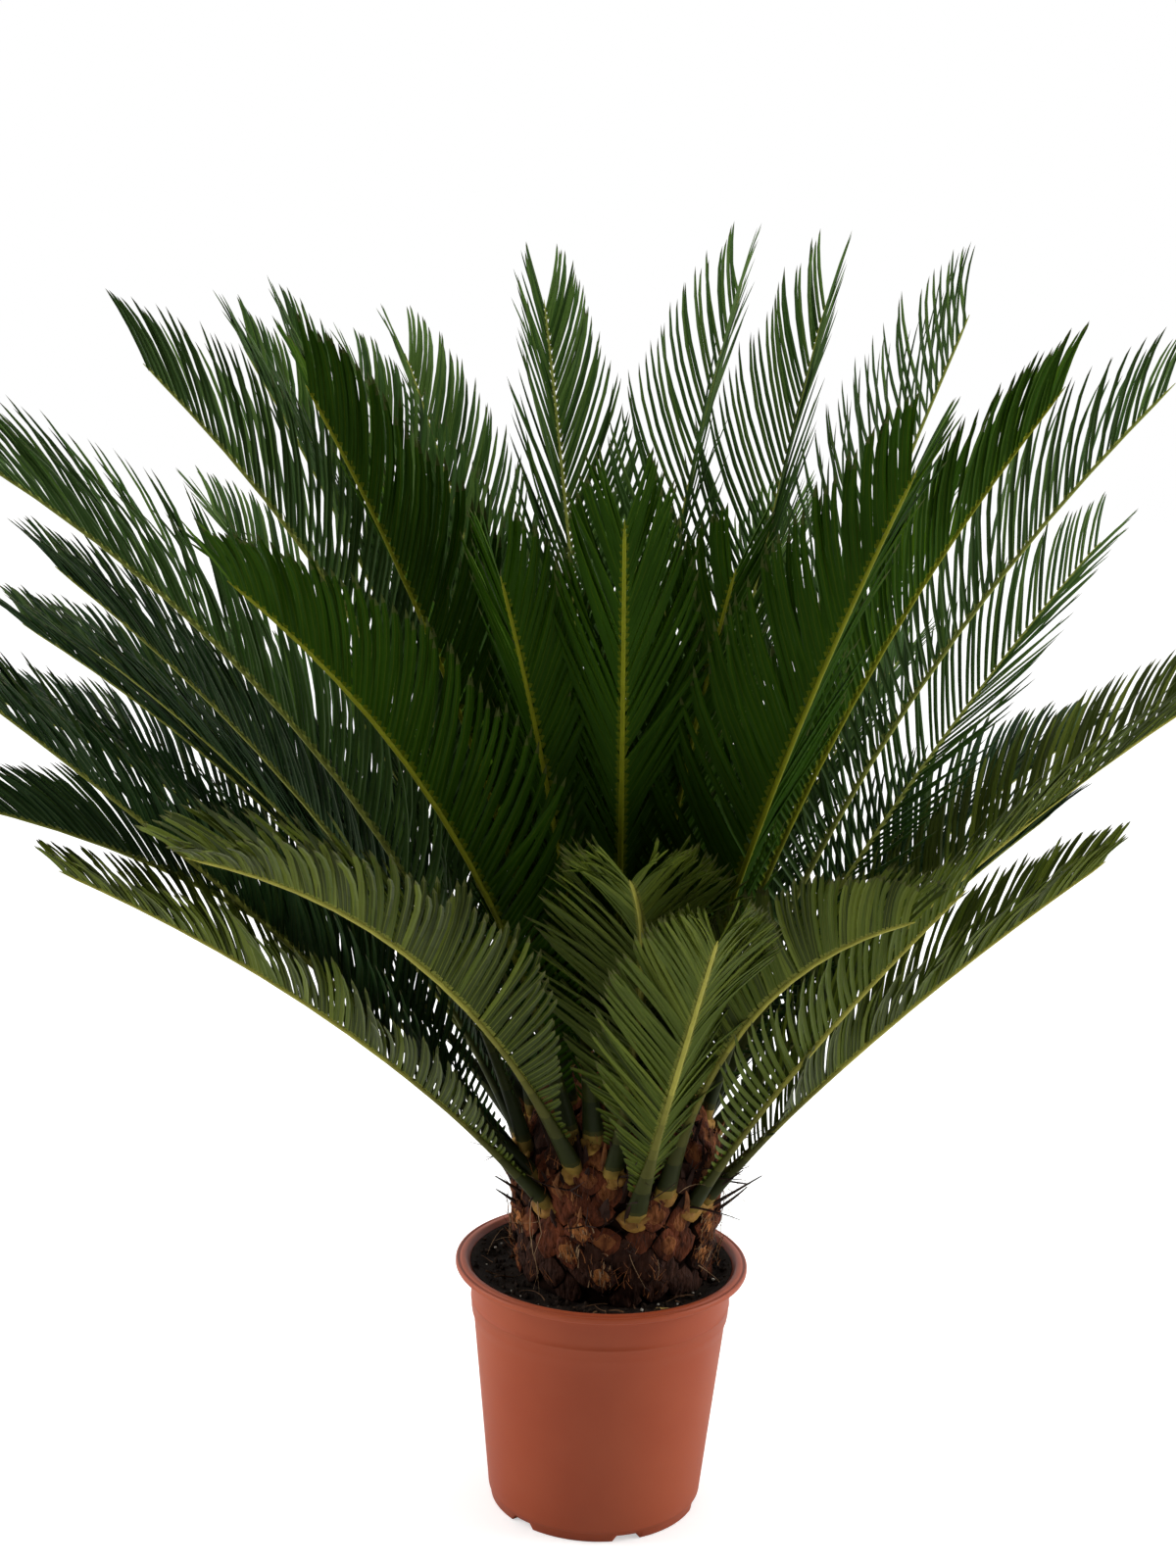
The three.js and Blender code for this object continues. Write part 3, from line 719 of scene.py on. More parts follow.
def cut_notches(bm):
    """Lifts the foot ring's underside where the drainage notches are."""
    half = NOTCH_WIDTH / 2 / FOOT_RADIUS
    step = 2 * math.pi / NOTCHES
    for vert in bm.verts:
        radius = math.hypot(vert.co.x, vert.co.y)
        if vert.co.z > NOTCH_HEIGHT or radius < FOOT_RADIUS - FOOT_RING_WIDTH - 2:
            continue
        angle = math.atan2(vert.co.y, vert.co.x) - math.radians(FIRST_NOTCH)
        if abs((angle + step / 2) % step - step / 2) < half:
            vert.co.z = NOTCH_HEIGHT


# ---------------------------------------------------------------- soil


class PALM_OT_soil(Operator):
    """Make the soil: an uneven bed with crumbs, roots, pale grit and a wood chip"""

    bl_idname = "palm.soil"
    bl_label = "Soil"

    def execute(self, context):
        settings = context.scene.palm_pot
        rng = np.random.default_rng(11)
        inner = COLLAR_RADIUS - settings.wall / MM - GAP
        dark = finish_material(
            "soil_bed", settings.soil, tinted(settings.soil, 0.45), roughness=0.95,
            patch=60.0, fine=900.0, speckle=0.5, bump=0.8, bump_depth=0.002)
        pale = finish_material(
            "soil_crumb", tinted(settings.soil, 1.7), tinted(settings.soil, 0.6),
            roughness=0.95, patch=220.0, fine=1500.0, speckle=0.5)
        add_piece("soil_bed", mesh_from(soil_bed(inner)), [dark], ["soil"])
        self.crumbs(settings.crumbs, rng, inner, [dark, pale])
        self.roots(rng)
        self.grit(rng)
        return {"FINISHED"}

    def crumbs(self, count, rng, inner, materials):
        spots = bed_spots(rng, count, CRUMBS_FROM, inner)
        size = rng.gamma(2.2, 0.55, count).clip(0.5, 3.4)
        squash = rng.uniform(0.5, 1.0, (count, 1, 3))
        points, faces = pebbles(rng, spots, size, squash, 0.25)
        rise = (HEAP - 1) * heaped(np.hypot(*spots.T), inner)
        points[:, :, 2] += (SOIL_HEIGHT - 0.4 + size * 0.15 + rise)[:, None]
        mesh = mesh_of_copies(points, faces, rng.integers(0, 2, (count, 1)))
        add_piece("soil_crumbs", mesh, materials)

    def roots(self, rng):
        straw = finish_material("root", shade((126, 92, 62)), shade((84, 60, 42)), patch=200.0,
                                specular=0.2)
        steps = np.arange(ROOT_STEPS)
        paths, radii = [], []
        for index in range(ROOTS):
            spot = bed_spots(rng, 1, LOOSE_FROM, LOOSE_TO - 2)[0]
            turn = rng.uniform(0, 2 * math.pi)
            bend = rng.uniform(-0.22, 0.22)
            reach = rng.uniform(*ROOT_REACH)
            headings = turn + bend * steps
            path = np.zeros((ROOT_STEPS, 3))
            path[:, 0] = spot[0] + np.cumsum(np.cos(headings)) * reach / ROOT_STEPS
            path[:, 1] = spot[1] + np.cumsum(np.sin(headings)) * reach / ROOT_STEPS
            path[:, 2] = SOIL_HEIGHT + 1.2 + 1.6 * np.sin(steps * rng.uniform(0.3, 0.8) + index)
            radius = np.hypot(path[:, 0], path[:, 1])
            path[:, :2] *= np.minimum(1, LOOSE_TO / radius)[:, None]
            paths.append(path)
            radii.append(rng.uniform(*ROOT_RADIUS))
        mesh = tubes(np.array(paths), np.array(radii), 5)
        add_piece("soil_roots", mesh, [straw])

    def grit(self, rng):
        white = finish_material("grit", shade((205, 198, 186)), shade((158, 146, 128)),
                                patch=300.0, specular=0.3)
        chip = finish_material("wood_chip", shade((190, 160, 92)), shade((150, 116, 60)),
                               roughness=0.7, stretch=(1, 6, 1), specular=0.3)
        spots = bed_spots(rng, GRIT, LOOSE_FROM, LOOSE_TO)
        size = rng.uniform(0.5, 1.5, GRIT)
        stretch = rng.uniform(0.6, 1.3, (GRIT, 1, 3))
        slots = np.zeros((GRIT, 1), int)
        spots[0], size[0], stretch[0], slots[0] = CHIP_PLACE, CHIP_SIZE, CHIP_STRETCH, 1
        points, faces = pebbles(rng, spots, size, stretch, 0.2)
        points[:, :, 2] += SOIL_HEIGHT + 1.4
        add_piece("soil_grit", mesh_of_copies(points, faces, slots), [white, chip])


def heaped(radius, inner):
    """How far the soil has risen to the pot's wall at a radius, from 0 to 1."""
    return smooth_step(radius, inner - HEAP_WIDTH, inner + 2)


def soil_bed(inner):
    """The filling of the pot, with an uneven top that is calmer against the wall."""
    floor = FOOT_HEIGHT + POT_FLOOR + GAP
    profile = [(0, floor), (FOOT_RADIUS - 3, floor), (SHOULDER_RADIUS - 3, SHOULDER_HEIGHT),
               (inner - 2.2, COLLAR_FOOT), (inner - 0.2, SOIL_HEIGHT + 1.5),
               (inner + 2.6, SOIL_HEIGHT + 4.6)]
    profile += [(radius, SOIL_HEIGHT - 1 + HEAP * heaped(radius, inner))
                for radius in np.linspace(inner + 1.6, 0, SOIL_RINGS)]
    bm = turned(profile, SOIL_TURN)
    for vert in bm.verts:
        if vert.co.z > SOIL_HEIGHT - 2:
            radius = math.hypot(vert.co.x, vert.co.y)
            free = 1 - 0.8 * smooth_step(radius, inner - 10, inner)
            vert.co.z += lumpiness(vert.co, SOIL_LUMPS) * free
    return bm


def bed_spots(rng, count, low, high):
    """Places on the bed between two radii."""
    angle = rng.uniform(0, 2 * math.pi, count)
    radius = np.sqrt(rng.uniform(low ** 2, high ** 2, count))
    return np.stack([radius * np.cos(angle), radius * np.sin(angle)], 1)


def pebbles(rng, spots, size, stretch, rough):
    """Corner points and faces of lumpy pebbles at the spots, each with a size, its stretch
    along the three axes, and corners that are moved in or out by up to the rough share."""
    bm = bmesh.new()
    bmesh.ops.create_icosphere(bm, subdivisions=1, radius=1)
    shape, faces, _ = template(bm)
    lumps = rng.uniform(1 - rough, 1 + rough, (len(spots), len(shape), 1))
    points = shape[None] * lumps * stretch * size[:, None, None]
    points[:, :, :2] += spots[:, None, :]
    return points, faces


# ---------------------------------------------------------------- trunk

BARK, RUSSET, TAWNY, TORN, SEAM_AND_SHADE, SHIELD = range(6)


class PALM_OT_trunk(Operator):
    """Make the trunk: a rough core wrapped in a spiral of old leaf bases"""

    bl_idname = "palm.trunk"
    bl_label = "Trunk"

    def execute(self, context):
        settings = context.scene.palm_trunk
        finishes = trunk_finishes(settings)
        # The core shows only in the gaps between leaf bases and takes their near-black painted
        # shade.
        add_piece("trunk_core", mesh_from(trunk_core()), [finishes[SEAM_AND_SHADE]], ["trunk"])
        self.bases(settings, finishes)
        self.shields(finishes)
        self.bud_scales(settings)
        return {"FINISHED"}

    def bases(self, settings, finishes):
        """The old leaf bases: near black at the root, as painted shade in the gaps between them,
        with sides and crowns of bark or torn open.
        """
        shape, faces, rings = base_shape()
        copies, slots = [], []
        for base in old_bases(settings):
            copies.append(placed_base(shape, **base["place"]))
            # The two root rings take the near-black finish: painted shade between the bases over
            # the trunk's dark seams.
            bands = [SEAM_AND_SHADE, SEAM_AND_SHADE, base["side"], base["side"], base["crown"], base["crown"]]
            slots.append([bands[ring] for ring in rings])
        mesh = mesh_of_copies(np.array(copies), faces, slots, smooth=True)
        add_piece("trunk_scales", mesh, finishes)

    def shields(self, finishes):
        """The living leaf bases: a tawny shield under the foot of each frond."""
        rng = np.random.default_rng(7)
        shape, faces, rings = base_shape()
        copies = []
        for whorl, seat, fronds in WHORLS:
            grown = 1.4 if whorl == "skirt" else 1.0
            for sizes in fronds:
                point, out, up = on_trunk(math.radians(sizes["at"]), seat - 5)
                size = (rng.uniform(9, 10.5) * grown, rng.uniform(8.5, 10), rng.uniform(7, 8.5),
                        rng.uniform(0, 1))
                tilt = rng.normal(0, 0.1)
                copies.append(placed_base(shape, point, out, up, size, tilt, rng.uniform(0, 99)))
        slots = [SHIELD if ring else RUSSET for ring in rings]
        mesh = mesh_of_copies(np.array(copies), faces, slots, smooth=True)
        add_piece("trunk_shields", mesh, finishes)

    def bud_scales(self, settings):
        """Narrow pointed scales that stand between the fronds' feet."""
        rng = np.random.default_rng(13)
        brown = finish_material("bud_scale", tinted(settings.bark, 0.8),
                                tinted(settings.bark, 0.3), patch=90.0)
        tawny = finish_material("bud_scale_tip", mixed(settings.bark, settings.straw, 0.5),
                                settings.bark, patch=90.0)
        count = BUD_SCALES
        heights = rng.uniform(*BUD_HEIGHTS, count)
        angles = rng.uniform(0, 2 * math.pi, count)
        places = [on_trunk(angle, height, 1.0) for angle, height in zip(angles, heights)]
        point, out, up = (np.array([place[k] for place in places]) for k in range(3))
        side = np.cross(up, out)
        lean = rng.uniform(0.15, 0.75, (count, 1))
        start = unit(up + out * lean + side * rng.normal(0, 0.28, (count, 1)))
        reach = rng.uniform(*BUD_REACH, count)[:, None, None]
        t = STRAP_STEPS[None, :, None]
        curl = out * rng.uniform(-0.5, 0.3, (count, 1)) + side * rng.normal(0, 0.15, (count, 1))
        path = point[:, None] + (start[:, None] * t + curl[:, None] * t ** 2 * 0.6) * reach
        across = np.broadcast_to(unit(np.cross(start, out))[:, None], path.shape)
        normal = np.broadcast_to(unit(np.cross(across[:, 0], start))[:, None], path.shape)
        half = rng.uniform(2.2, 4.6, count)[:, None] * np.array([1.0, 1.0, 0.95, 0.75, 0.45, 0.2])
        mesh = mesh_of_copies(straps(path, across, normal, half), STRAP_FACES,
                              rng.choice(2, (count, 1), p=(0.7, 0.3)))
        add_piece("bud_scales", mesh, [brown, tawny])


def trunk_finishes(settings):
    """The finishes of the trunk, in the order of their slots."""
    bark, russet, straw = settings.bark, settings.russet, settings.straw
    leather = dict(fine=320.0, speckle=0.45, span=0.45, stretch=(1, 1, 0.4), bump=0.9,
                   bump_depth=0.0018, specular=0.1)
    streaks = dict(leather, patch=240.0, fine=480.0, speckle=0.9, span=0.8,
                   stretch=(1, 1, 0.12), bump=1.0)
    return [
        finish_material("bark", tinted(bark, 1.3), tinted(bark, 0.2), **leather),
        finish_material("bark_russet", tinted(russet, 1.2), tinted(bark, 0.35), **leather),
        finish_material("bark_tawny", mixed(russet, straw, 0.35), tinted(russet, 0.35), **leather),
        finish_material("torn_end", tinted(straw, 1.15), tinted(russet, 0.3), **streaks),
        # Near black: painted shade in the gaps between the leaf bases and on the core behind them,
        # over the trunk's own dark seams.
        finish_material("seam", tinted(bark, 0.3), tinted(bark, 0.1), roughness=0.95,
                        patch=90.0, specular=0.05),
        finish_material("shield", shade((160, 124, 54)), shade((100, 64, 30)), roughness=0.6,
                        patch=75.0, fine=400.0, span=0.6, bump=0.3, specular=0.12),
    ]


def trunk_core():
    """The trunk under its leaf bases, with a lumpy surface and a flat foot."""
    heights = [TRUNK_FOOT, *np.linspace(TRUNK_FOOT + 4, SHOULDER_START, 18)]
    heights += [SHOULDER_START + DOME_HEIGHT * math.sin(a) for a in np.linspace(0.12, 1.5, 14)]
    profile = [(0, TRUNK_FOOT), *((trunk_radius(h) - CORE_SINK, h) for h in heights),
               (0, SHOULDER_START + DOME_HEIGHT - 1)]
    bm = turned(profile, TRUNK_TURN)
    for vert in bm.verts:
        if vert.co.z > TRUNK_FOOT + 1:
            outwards = Vector((vert.co.x, vert.co.y, 0)).normalized()
            vert.co += outwards * (lumpiness(vert.co, CORE_LUMPS) - 1.6)
    bmesh.ops.translate(bm, verts=bm.verts, vec=(TRUNK_X, 0, 0))
    return bm


DIAMOND = 1.35    # power of the outline of a leaf base: 1 is a diamond and 2 is an oval

# Thickness and depth of each inset that steps in from a leaf base's root to its crown.
BASE_INSETS = ((0.02, 0.5), (0.07, 0.2), (0.17, 0.14), (0.22, 0.1), (0.22, 0.05))

# How uneven a leaf base is, whole and torn open: its outline, the waver of its edge, its lean,
# the slope of its crown, the ribs of its surface and the share of its relief that is kept.
WHOLE = (0.2, 0.8, 2.0, -0.1, 1.5, 0.9)
OPENED = (0.45, 2.0, 4.0, 0.3, 2.6, 1.0)


def nearest(places, point):
    return min(np.linalg.norm(place - point) for place in places)


def old_bases(settings):
    """Place and finishes of each old leaf base, on a golden-angle spiral round the trunk."""
    rng = np.random.default_rng(5)
    wide, tall, deep = (value / MM for value in (
        settings.scale_width, settings.scale_height, settings.scale_depth))
    feet = [curve[0] for _, _, curve in all_fronds()]
    torn = [(math.radians(angle), height) for angle, height in TORN_BASES]
    torn_points = [on_trunk(angle, height)[0] for angle, height in torn]
    places = [(angle + rng.normal(0, 0.04), max(BASES_FROM, height + rng.normal(0, 2.0)))
              for angle, height in spiral_places(wide * tall * 0.6)]
    for number, (angle, height) in enumerate(torn + places):
        point, out, up = on_trunk(angle, height)
        crowned = float(smooth_step(height, *CROWNED))
        settled = float(smooth_step(height, *SETTLED))
        size = (wide / 2 * rng.uniform(0.85, 1.15) * mix(1.0, 0.75, crowned),
                tall / 2 * rng.uniform(0.95, 1.25) * mix(1.0, 1.35, crowned),
                deep * rng.uniform(0.7, 1.2) * mix(1.0, 0.8, settled),
                tall * rng.uniform(-0.05, 0.2))
        tilt, seed, body = rng.normal(0, 0.12), rng.uniform(0, 99), rng.random()
        opened = number < len(torn)
        if opened:
            size = (wide * 0.5, tall * 0.6, deep * 1.15, tall * 0.1)
        if nearest(feet, point + up * 4) < CLEAR:
            continue
        if not opened and nearest(torn_points, point) < CLEAR:
            continue
        fresh = float(smooth_step(height, *FRESH))
        side = BARK if body > mix(0.05, 0.85, fresh) else RUSSET
        crown = TORN if opened else TAWNY if body < mix(0.02, 0.48, fresh) else side
        place = dict(point=point, out=out, up=up, size=size, tilt=tilt, seed=seed, torn=opened)
        yield dict(place=place, side=side, crown=crown)


def spiral_places(area):
    """Angle and height of each leaf base, spread evenly over the trunk's surface."""
    places = []
    height, number = BASES_FROM, 0
    while height < BASES_TO:
        places.append((math.radians(number * GOLDEN_ANGLE), height))
        girth = 2 * math.pi * max(8.0, trunk_radius(height))
        height += area / girth / math.hypot(1, trunk_slope(height))
        number += 1
    return places


def base_shape():
    """A leaf base in unit sizes, x across, y up and z outwards: a domed tile with steep
    sides. The slot of a face is its ring, from 0 at the root to 5 on the crown."""
    bm = bmesh.new()
    bmesh.ops.create_circle(bm, cap_ends=True, segments=16, radius=1)
    end = next(iter(bm.faces))
    if end.normal.z < 0:
        end.normal_flip()
    for number, (thickness, depth) in enumerate(BASE_INSETS):
        sides = bmesh.ops.inset_individual(bm, faces=[end], thickness=thickness, depth=depth)
        for face in sides["faces"]:
            face.material_index = number
    for face in bmesh.ops.poke(bm, faces=[end])["faces"]:
        face.material_index = len(BASE_INSETS)
    bmesh.ops.edgeloop_fill(bm, edges=[edge for edge in bm.edges if edge.is_boundary])
    bmesh.ops.recalc_face_normals(bm, faces=bm.faces)
    return template(bm)


def placed_base(shape, point, out, up, size, tilt, seed, torn=False):
    """One leaf base on the trunk: size is its half width, half height, depth and lean."""
    wide, tall, deep, lean = size
    outline, waver, sag, slope, ribs, kept = OPENED if torn else WHOLE
    radius = np.hypot(shape[:, 0], shape[:, 1])
    unit_x, unit_y = (shape[:, k] / np.maximum(radius, 0.01) for k in (0, 1))
    diamond = (np.abs(unit_x) ** DIAMOND + np.abs(unit_y) ** DIAMOND) ** (-1 / DIAMOND) / 0.85
    rise = np.clip(shape[:, 2], 0, 1)
    rough = np.array([noise.noise(Vector(p * 1.9) + Vector((seed, 0, 0))) for p in shape])
    fine = np.array([noise.noise(Vector(p * 5.3) + Vector((0, seed, 0))) for p in shape])
    ribbed = np.array([noise.noise(Vector((p[0] * 6 + seed, p[1] * 1.2, 3.3))) for p in shape])
    x = shape[:, 0] * diamond * wide * (1 + outline * rough) + fine * waver
    y = shape[:, 1] * diamond * tall + lean * rise + rough * sag * rise
    z = rise * deep * (1 + 0.4 * rough + slope * shape[:, 1])
    z += (fine + ribbed * ribs) * kept * rise - 3.5
    turned_x = x * math.cos(tilt) - y * math.sin(tilt)
    turned_y = x * math.sin(tilt) + y * math.cos(tilt)
    bow = turned_x ** 2 / (2 * TRUNK_RADIUS)
    points = (point + np.cross(up, out) * turned_x[:, None] + up * turned_y[:, None]
              + out * (z - bow)[:, None])
    points[:, 2] = np.maximum(points[:, 2], SOIL_HEIGHT - 1)
    return points


# ---------------------------------------------------------------- fibres

SPINE, FIBRE, WISP = range(3)


class PALM_OT_fibres(Operator):
    """Scatter the dry fibres and spines that stand out of the trunk"""

    bl_idname = "palm.fibres"
    bl_label = "Fibres"

    def execute(self, context):
        settings = context.scene.palm_trunk
        bark, russet, straw = settings.bark, settings.russet, settings.straw
        rng = np.random.default_rng(23)
        finishes = [
            finish_material("dry_spine", tinted(bark, 0.35), tinted(bark, 0.7), roughness=0.7,
                            specular=0.2),
            finish_material("dry_fibre", tinted(straw, 0.8), tinted(russet, 0.8)),
            finish_material("wisp", shade((168, 138, 104)), shade((120, 92, 66))),
        ]
        fibres = [*torn_fibres(settings, rng), *fibre_tufts(settings.fibres, rng),
                  *spine_tufts(rng), *wisps(rng), *long_spines(rng), *hanging_threads(rng)]
        paths, radii, slots = (np.array([fibre[k] for fibre in fibres]) for k in range(3))
        paths[:, :, 2] = np.maximum(paths[:, :, 2], SOIL_HEIGHT + 0.5)
        add_piece("trunk_fibres", tubes(paths, radii, 4, slots), finishes)
        return {"FINISHED"}


def fibre_path(point, start, curl, reach):
    """A path that sets out from a point and curls away."""
    t = np.linspace(0, 1, FIBRE_STEPS)[:, None]
    return point + (start * t + curl * 0.5 * t ** 2) * reach


def torn_fibres(settings, rng):
    """Path, radius and slot of each fibre that stands out of a torn leaf base."""
    for base in old_bases(settings):
        if not base["place"]["torn"]:
            continue
        point, out, up, size = (base["place"][key] for key in ("point", "out", "up", "size"))
        across = np.cross(up, out)
        for _ in range(TORN_ENDS["count"]):
            start = unit(up + out * rng.uniform(0.0, 0.5) + across * rng.normal(0, 0.2))
            spot = (point + across * rng.uniform(-0.8, 0.8) * size[0]
                    + up * rng.uniform(-0.6, 0.75) * size[1] + out * (size[2] * 0.9 - 3.6))
            path = fibre_path(spot, start, rng.normal(0, 0.2, 3), rng.uniform(*TORN_ENDS["reach"]))
            yield path, rng.uniform(*TORN_ENDS["radius"]), rng.choice(3, p=(0.4, 0.35, 0.25))


def fibre_tufts(count, rng):
    """The same of the short fibres in tufts all over the trunk."""
    for _ in range(count):
        point, out, up = on_trunk(rng.uniform(0, 2 * math.pi), rng.uniform(*TUFTS["heights"]),
                                  rng.uniform(3, 8))
        across = np.cross(up, out)
        for _ in range(rng.integers(2, 6)):
            start = unit(up * rng.uniform(0.4, 1.2) + out * rng.uniform(-0.1, 0.5)
                         + across * rng.normal(0, 0.45))
            spot = point + across * rng.normal(0, 3) + up * rng.normal(0, 2)
            path = fibre_path(spot, start, rng.normal(0, 0.35, 3), rng.uniform(*TUFTS["reach"]))
            yield path, rng.uniform(*TUFTS["radius"]), SPINE if rng.random() < 0.45 else FIBRE


def spine_tufts(rng):
    """The same of the dry spines under the crown."""
    for _ in range(SPINES["count"]):
        point, out, up = on_trunk(rng.uniform(0, 2 * math.pi), rng.uniform(*SPINES["heights"]), 4)
        for _ in range(rng.integers(2, 4)):
            start = unit(out * rng.uniform(0.5, 1.0) + up * rng.uniform(-0.1, 0.7)
                         + np.cross(up, out) * rng.normal(0, 0.5))
            path = fibre_path(point, start, rng.normal(0, 0.2, 3), rng.uniform(*SPINES["reach"]))
            yield path, rng.uniform(*SPINES["radius"]), SPINE


def wisps(rng):
    """The same of the pale wisps that droop off the trunk."""
    for _ in range(WISPS["count"]):
        point, out, up = on_trunk(rng.uniform(0, 2 * math.pi), rng.uniform(*WISPS["heights"]), 11)
        start = unit(out * rng.uniform(0.3, 0.8) + up * rng.uniform(-0.6, 0.8)
                     + np.cross(up, out) * rng.normal(0, 0.6))
        curl = rng.normal(0, 0.7, 3) + (0, 0, -0.6)
        path = fibre_path(point, start, curl, rng.uniform(*WISPS["reach"]))
        yield path, rng.uniform(*WISPS["radius"]), WISP


def long_spines(rng):
    """The same of the longest dry spines."""
    for angle, height, reach in LONG_SPINES:
        point, out, up = on_trunk(math.radians(angle), height, 3)
        yield fibre_path(point, unit(out + up * 0.8), rng.normal(0, 0.1, 3), reach), 1.8, SPINE


def hanging_threads(rng):
    """The same of the threads that hang down the trunk."""
    for angle in HANGING_THREADS:
        turn = math.radians(angle) + np.cumsum(rng.normal(0, 0.04, FIBRE_STEPS))
        heights = np.linspace(*THREAD_HEIGHTS, FIBRE_STEPS)
        path = [on_trunk(a, h, rng.uniform(6, 10))[0] for a, h in zip(turn, heights)]
        yield np.array(path), 0.5, WISP


# ---------------------------------------------------------------- fronds

# Shares of a rib's length at which its rings stand, closer where it clasps the trunk.
RIB_RINGS = np.array([0, 0.01, 0.018, 0.035, 0.05, 0.07, 0.09, 0.115, 0.14, 0.17, 0.2, 0.24,
                      0.28, 0.33, 0.38, 0.46, 0.55, 0.64, 0.72, 0.8, 0.87, 0.93, 0.97, 1.0])

# Shares at which the stalk, and then each tone of the rib, takes over. The tones lighten outwards
# as the painted shade under the crown fades.
RIB_LIMITS = np.array([0.01, *np.linspace(0.018, 0.38, RIB_TONES)])


class PALM_OT_ribs(Operator):
    """Make every frond's rib, from its tan collar on the trunk to its tip"""

    bl_idname = "palm.ribs"
    bl_label = "Ribs"

    def execute(self, context):
        zones = [int(sum(share >= RIB_LIMITS - 1e-6)) for share in RIB_RINGS[:-1]]
        zones = np.array([*np.repeat(zones, RIB_SIDES), 0, 1 + RIB_TONES])
        rings, slots, names = [], [], []
        for name, sizes, curve in all_fronds():
            first = RIB_TONES * list(TINTS).index(sizes["tint"])
            rings.append(rib_ring(curve))
            slots.append(zones + np.where(zones > 1, first, 0))
            names.append(name)
        faces = tube_faces(len(RIB_RINGS), RIB_SIDES)
        mesh = mesh_of_copies(np.array(rings), faces, slots, smooth=True)
        add_piece("frond_ribs", mesh, rib_finishes(context.scene.palm_fronds), names)
        return {"FINISHED"}


def rib_finishes(settings):
    """Finishes of collar and stalk, then the tones of each tint's rib: from the dark stalk,
    deepened by painted shade under the crown, to the rib's lit colour.
    """
    finishes = [
        finish_material("collar", shade((136, 110, 48)), shade((90, 76, 32)), roughness=0.6,
                        patch=70.0, specular=0.1),
        finish_material("stalk", shade((60, 60, 26)), shade((38, 40, 18)), roughness=0.6,
                        patch=60.0, specular=0.06),
    ]
    for tint in TINTS:
        lit = getattr(settings, f"{tint}_rib")
        # Painted shade: the rib darkens towards the trunk, where the crown shades it, over the
        # stalk's own darker green.
        dark_stalk_and_shade = mixed(shade((34, 36, 16)), getattr(settings, tint), 0.12)
        for part in range(RIB_TONES):
            tone = mixed(dark_stalk_and_shade, lit, (part / (RIB_TONES - 1)) ** 1.3)
            finishes.append(finish_material(f"rib_{tint}_{part}", tone, tinted(tone, 0.8),
                                            roughness=0.55, patch=60.0, specular=0.1))
    return finishes


def rib_sizes(shares):
    """Width and thickness of a rib, swollen where it clasps the trunk."""
    grown = np.maximum(0, (shares - BARE_SHARE) / (1 - BARE_SHARE))
    swell = np.maximum(0, 1 - shares / (2.6 * BARE_SHARE)) ** 1.8
    slim = mix(1.0, 0.66, smooth_step(shares, 0.08, 0.3))
    width = mix(STALK_WIDTH, TIP_WIDTH, grown) * slim + swell * COLLAR_SWELL[0]
    thickness = mix(STALK_THICKNESS, TIP_THICKNESS, grown) + swell * COLLAR_SWELL[1]
    close = np.clip((1.0 - shares) / 0.03, 0.25, 1)
    return width * close, thickness * close


def rib_ring(curve):
    """Points of one rib, as rings of an oval section whose first lies inside the trunk."""
    centre, along, up, right = rib_frames(curve, RIB_RINGS)
    width, thickness = rib_sizes(RIB_RINGS)
    turn = np.arange(RIB_SIDES) / RIB_SIDES * 2 * np.pi
    across = right[:, None, :] * (np.cos(turn)[None, :, None] * width[:, None, None] / 2)
    over = up[:, None, :] * (np.sin(turn)[None, :, None] * thickness[:, None, None] / 2)
    centre[0] -= along[0] * 3
    return (centre[:, None, :] + across - over).reshape(-1, 3)


# A strap has rings of five corners at each step but the last, which is its point.
STRAP_STEPS = np.array([0, 0.035, 0.26, 0.52, 0.76, 0.92, 1.0])
STRAP_SECTION = ((-1.0, -0.45), (0.0, 0.25), (1.0, -0.45), (0.16, -0.1), (-0.16, -0.1))
STRAP_FACES = ring_faces(6, 5) + [[25 + i, 25 + (i + 1) % 5, 30] for i in range(5)]
STRAP_FACES += [[4, 3, 2, 1, 0]]
# upper_light and upper_dark are lit and shaded copies of the upper green: painted light and
# painted shade.
UPPER, PAINTED_LIGHT, PAINTED_SHADE, UNDER, MIDRIB, ROOT, TIP = range(7)
LEAF_PARTS = ("upper", "upper_light", "upper_dark", "under", "midrib", "root", "tip")
STRAP_SLOTS = [ROOT] * 5 + [UPPER, UPPER, UNDER, MIDRIB, UNDER] * 4 + [TIP] * 5 + [ROOT]


def straps(path, across, normal, half):
    """Corner points of many straps: a ridged section along each path of seven points."""
    rings = [path[:, :6] + across[:, :6] * (half * x)[..., None]
             + normal[:, :6] * (half * z)[..., None] for x, z in STRAP_SECTION]
    body = np.stack(rings, 2).reshape(len(path), 30, 3)
    return np.concatenate([body, path[:, 6:7]], 1)


def drift(rng, row, amount):
    """A slow random change along each side of a rib, so that neighbouring leaflets lean alike."""
    knots = np.linspace(0, 1, DRIFT_KNOTS)
    return np.concatenate([np.interp(row, knots, rng.normal(0, amount, DRIFT_KNOTS))
                           for _ in range(2)])


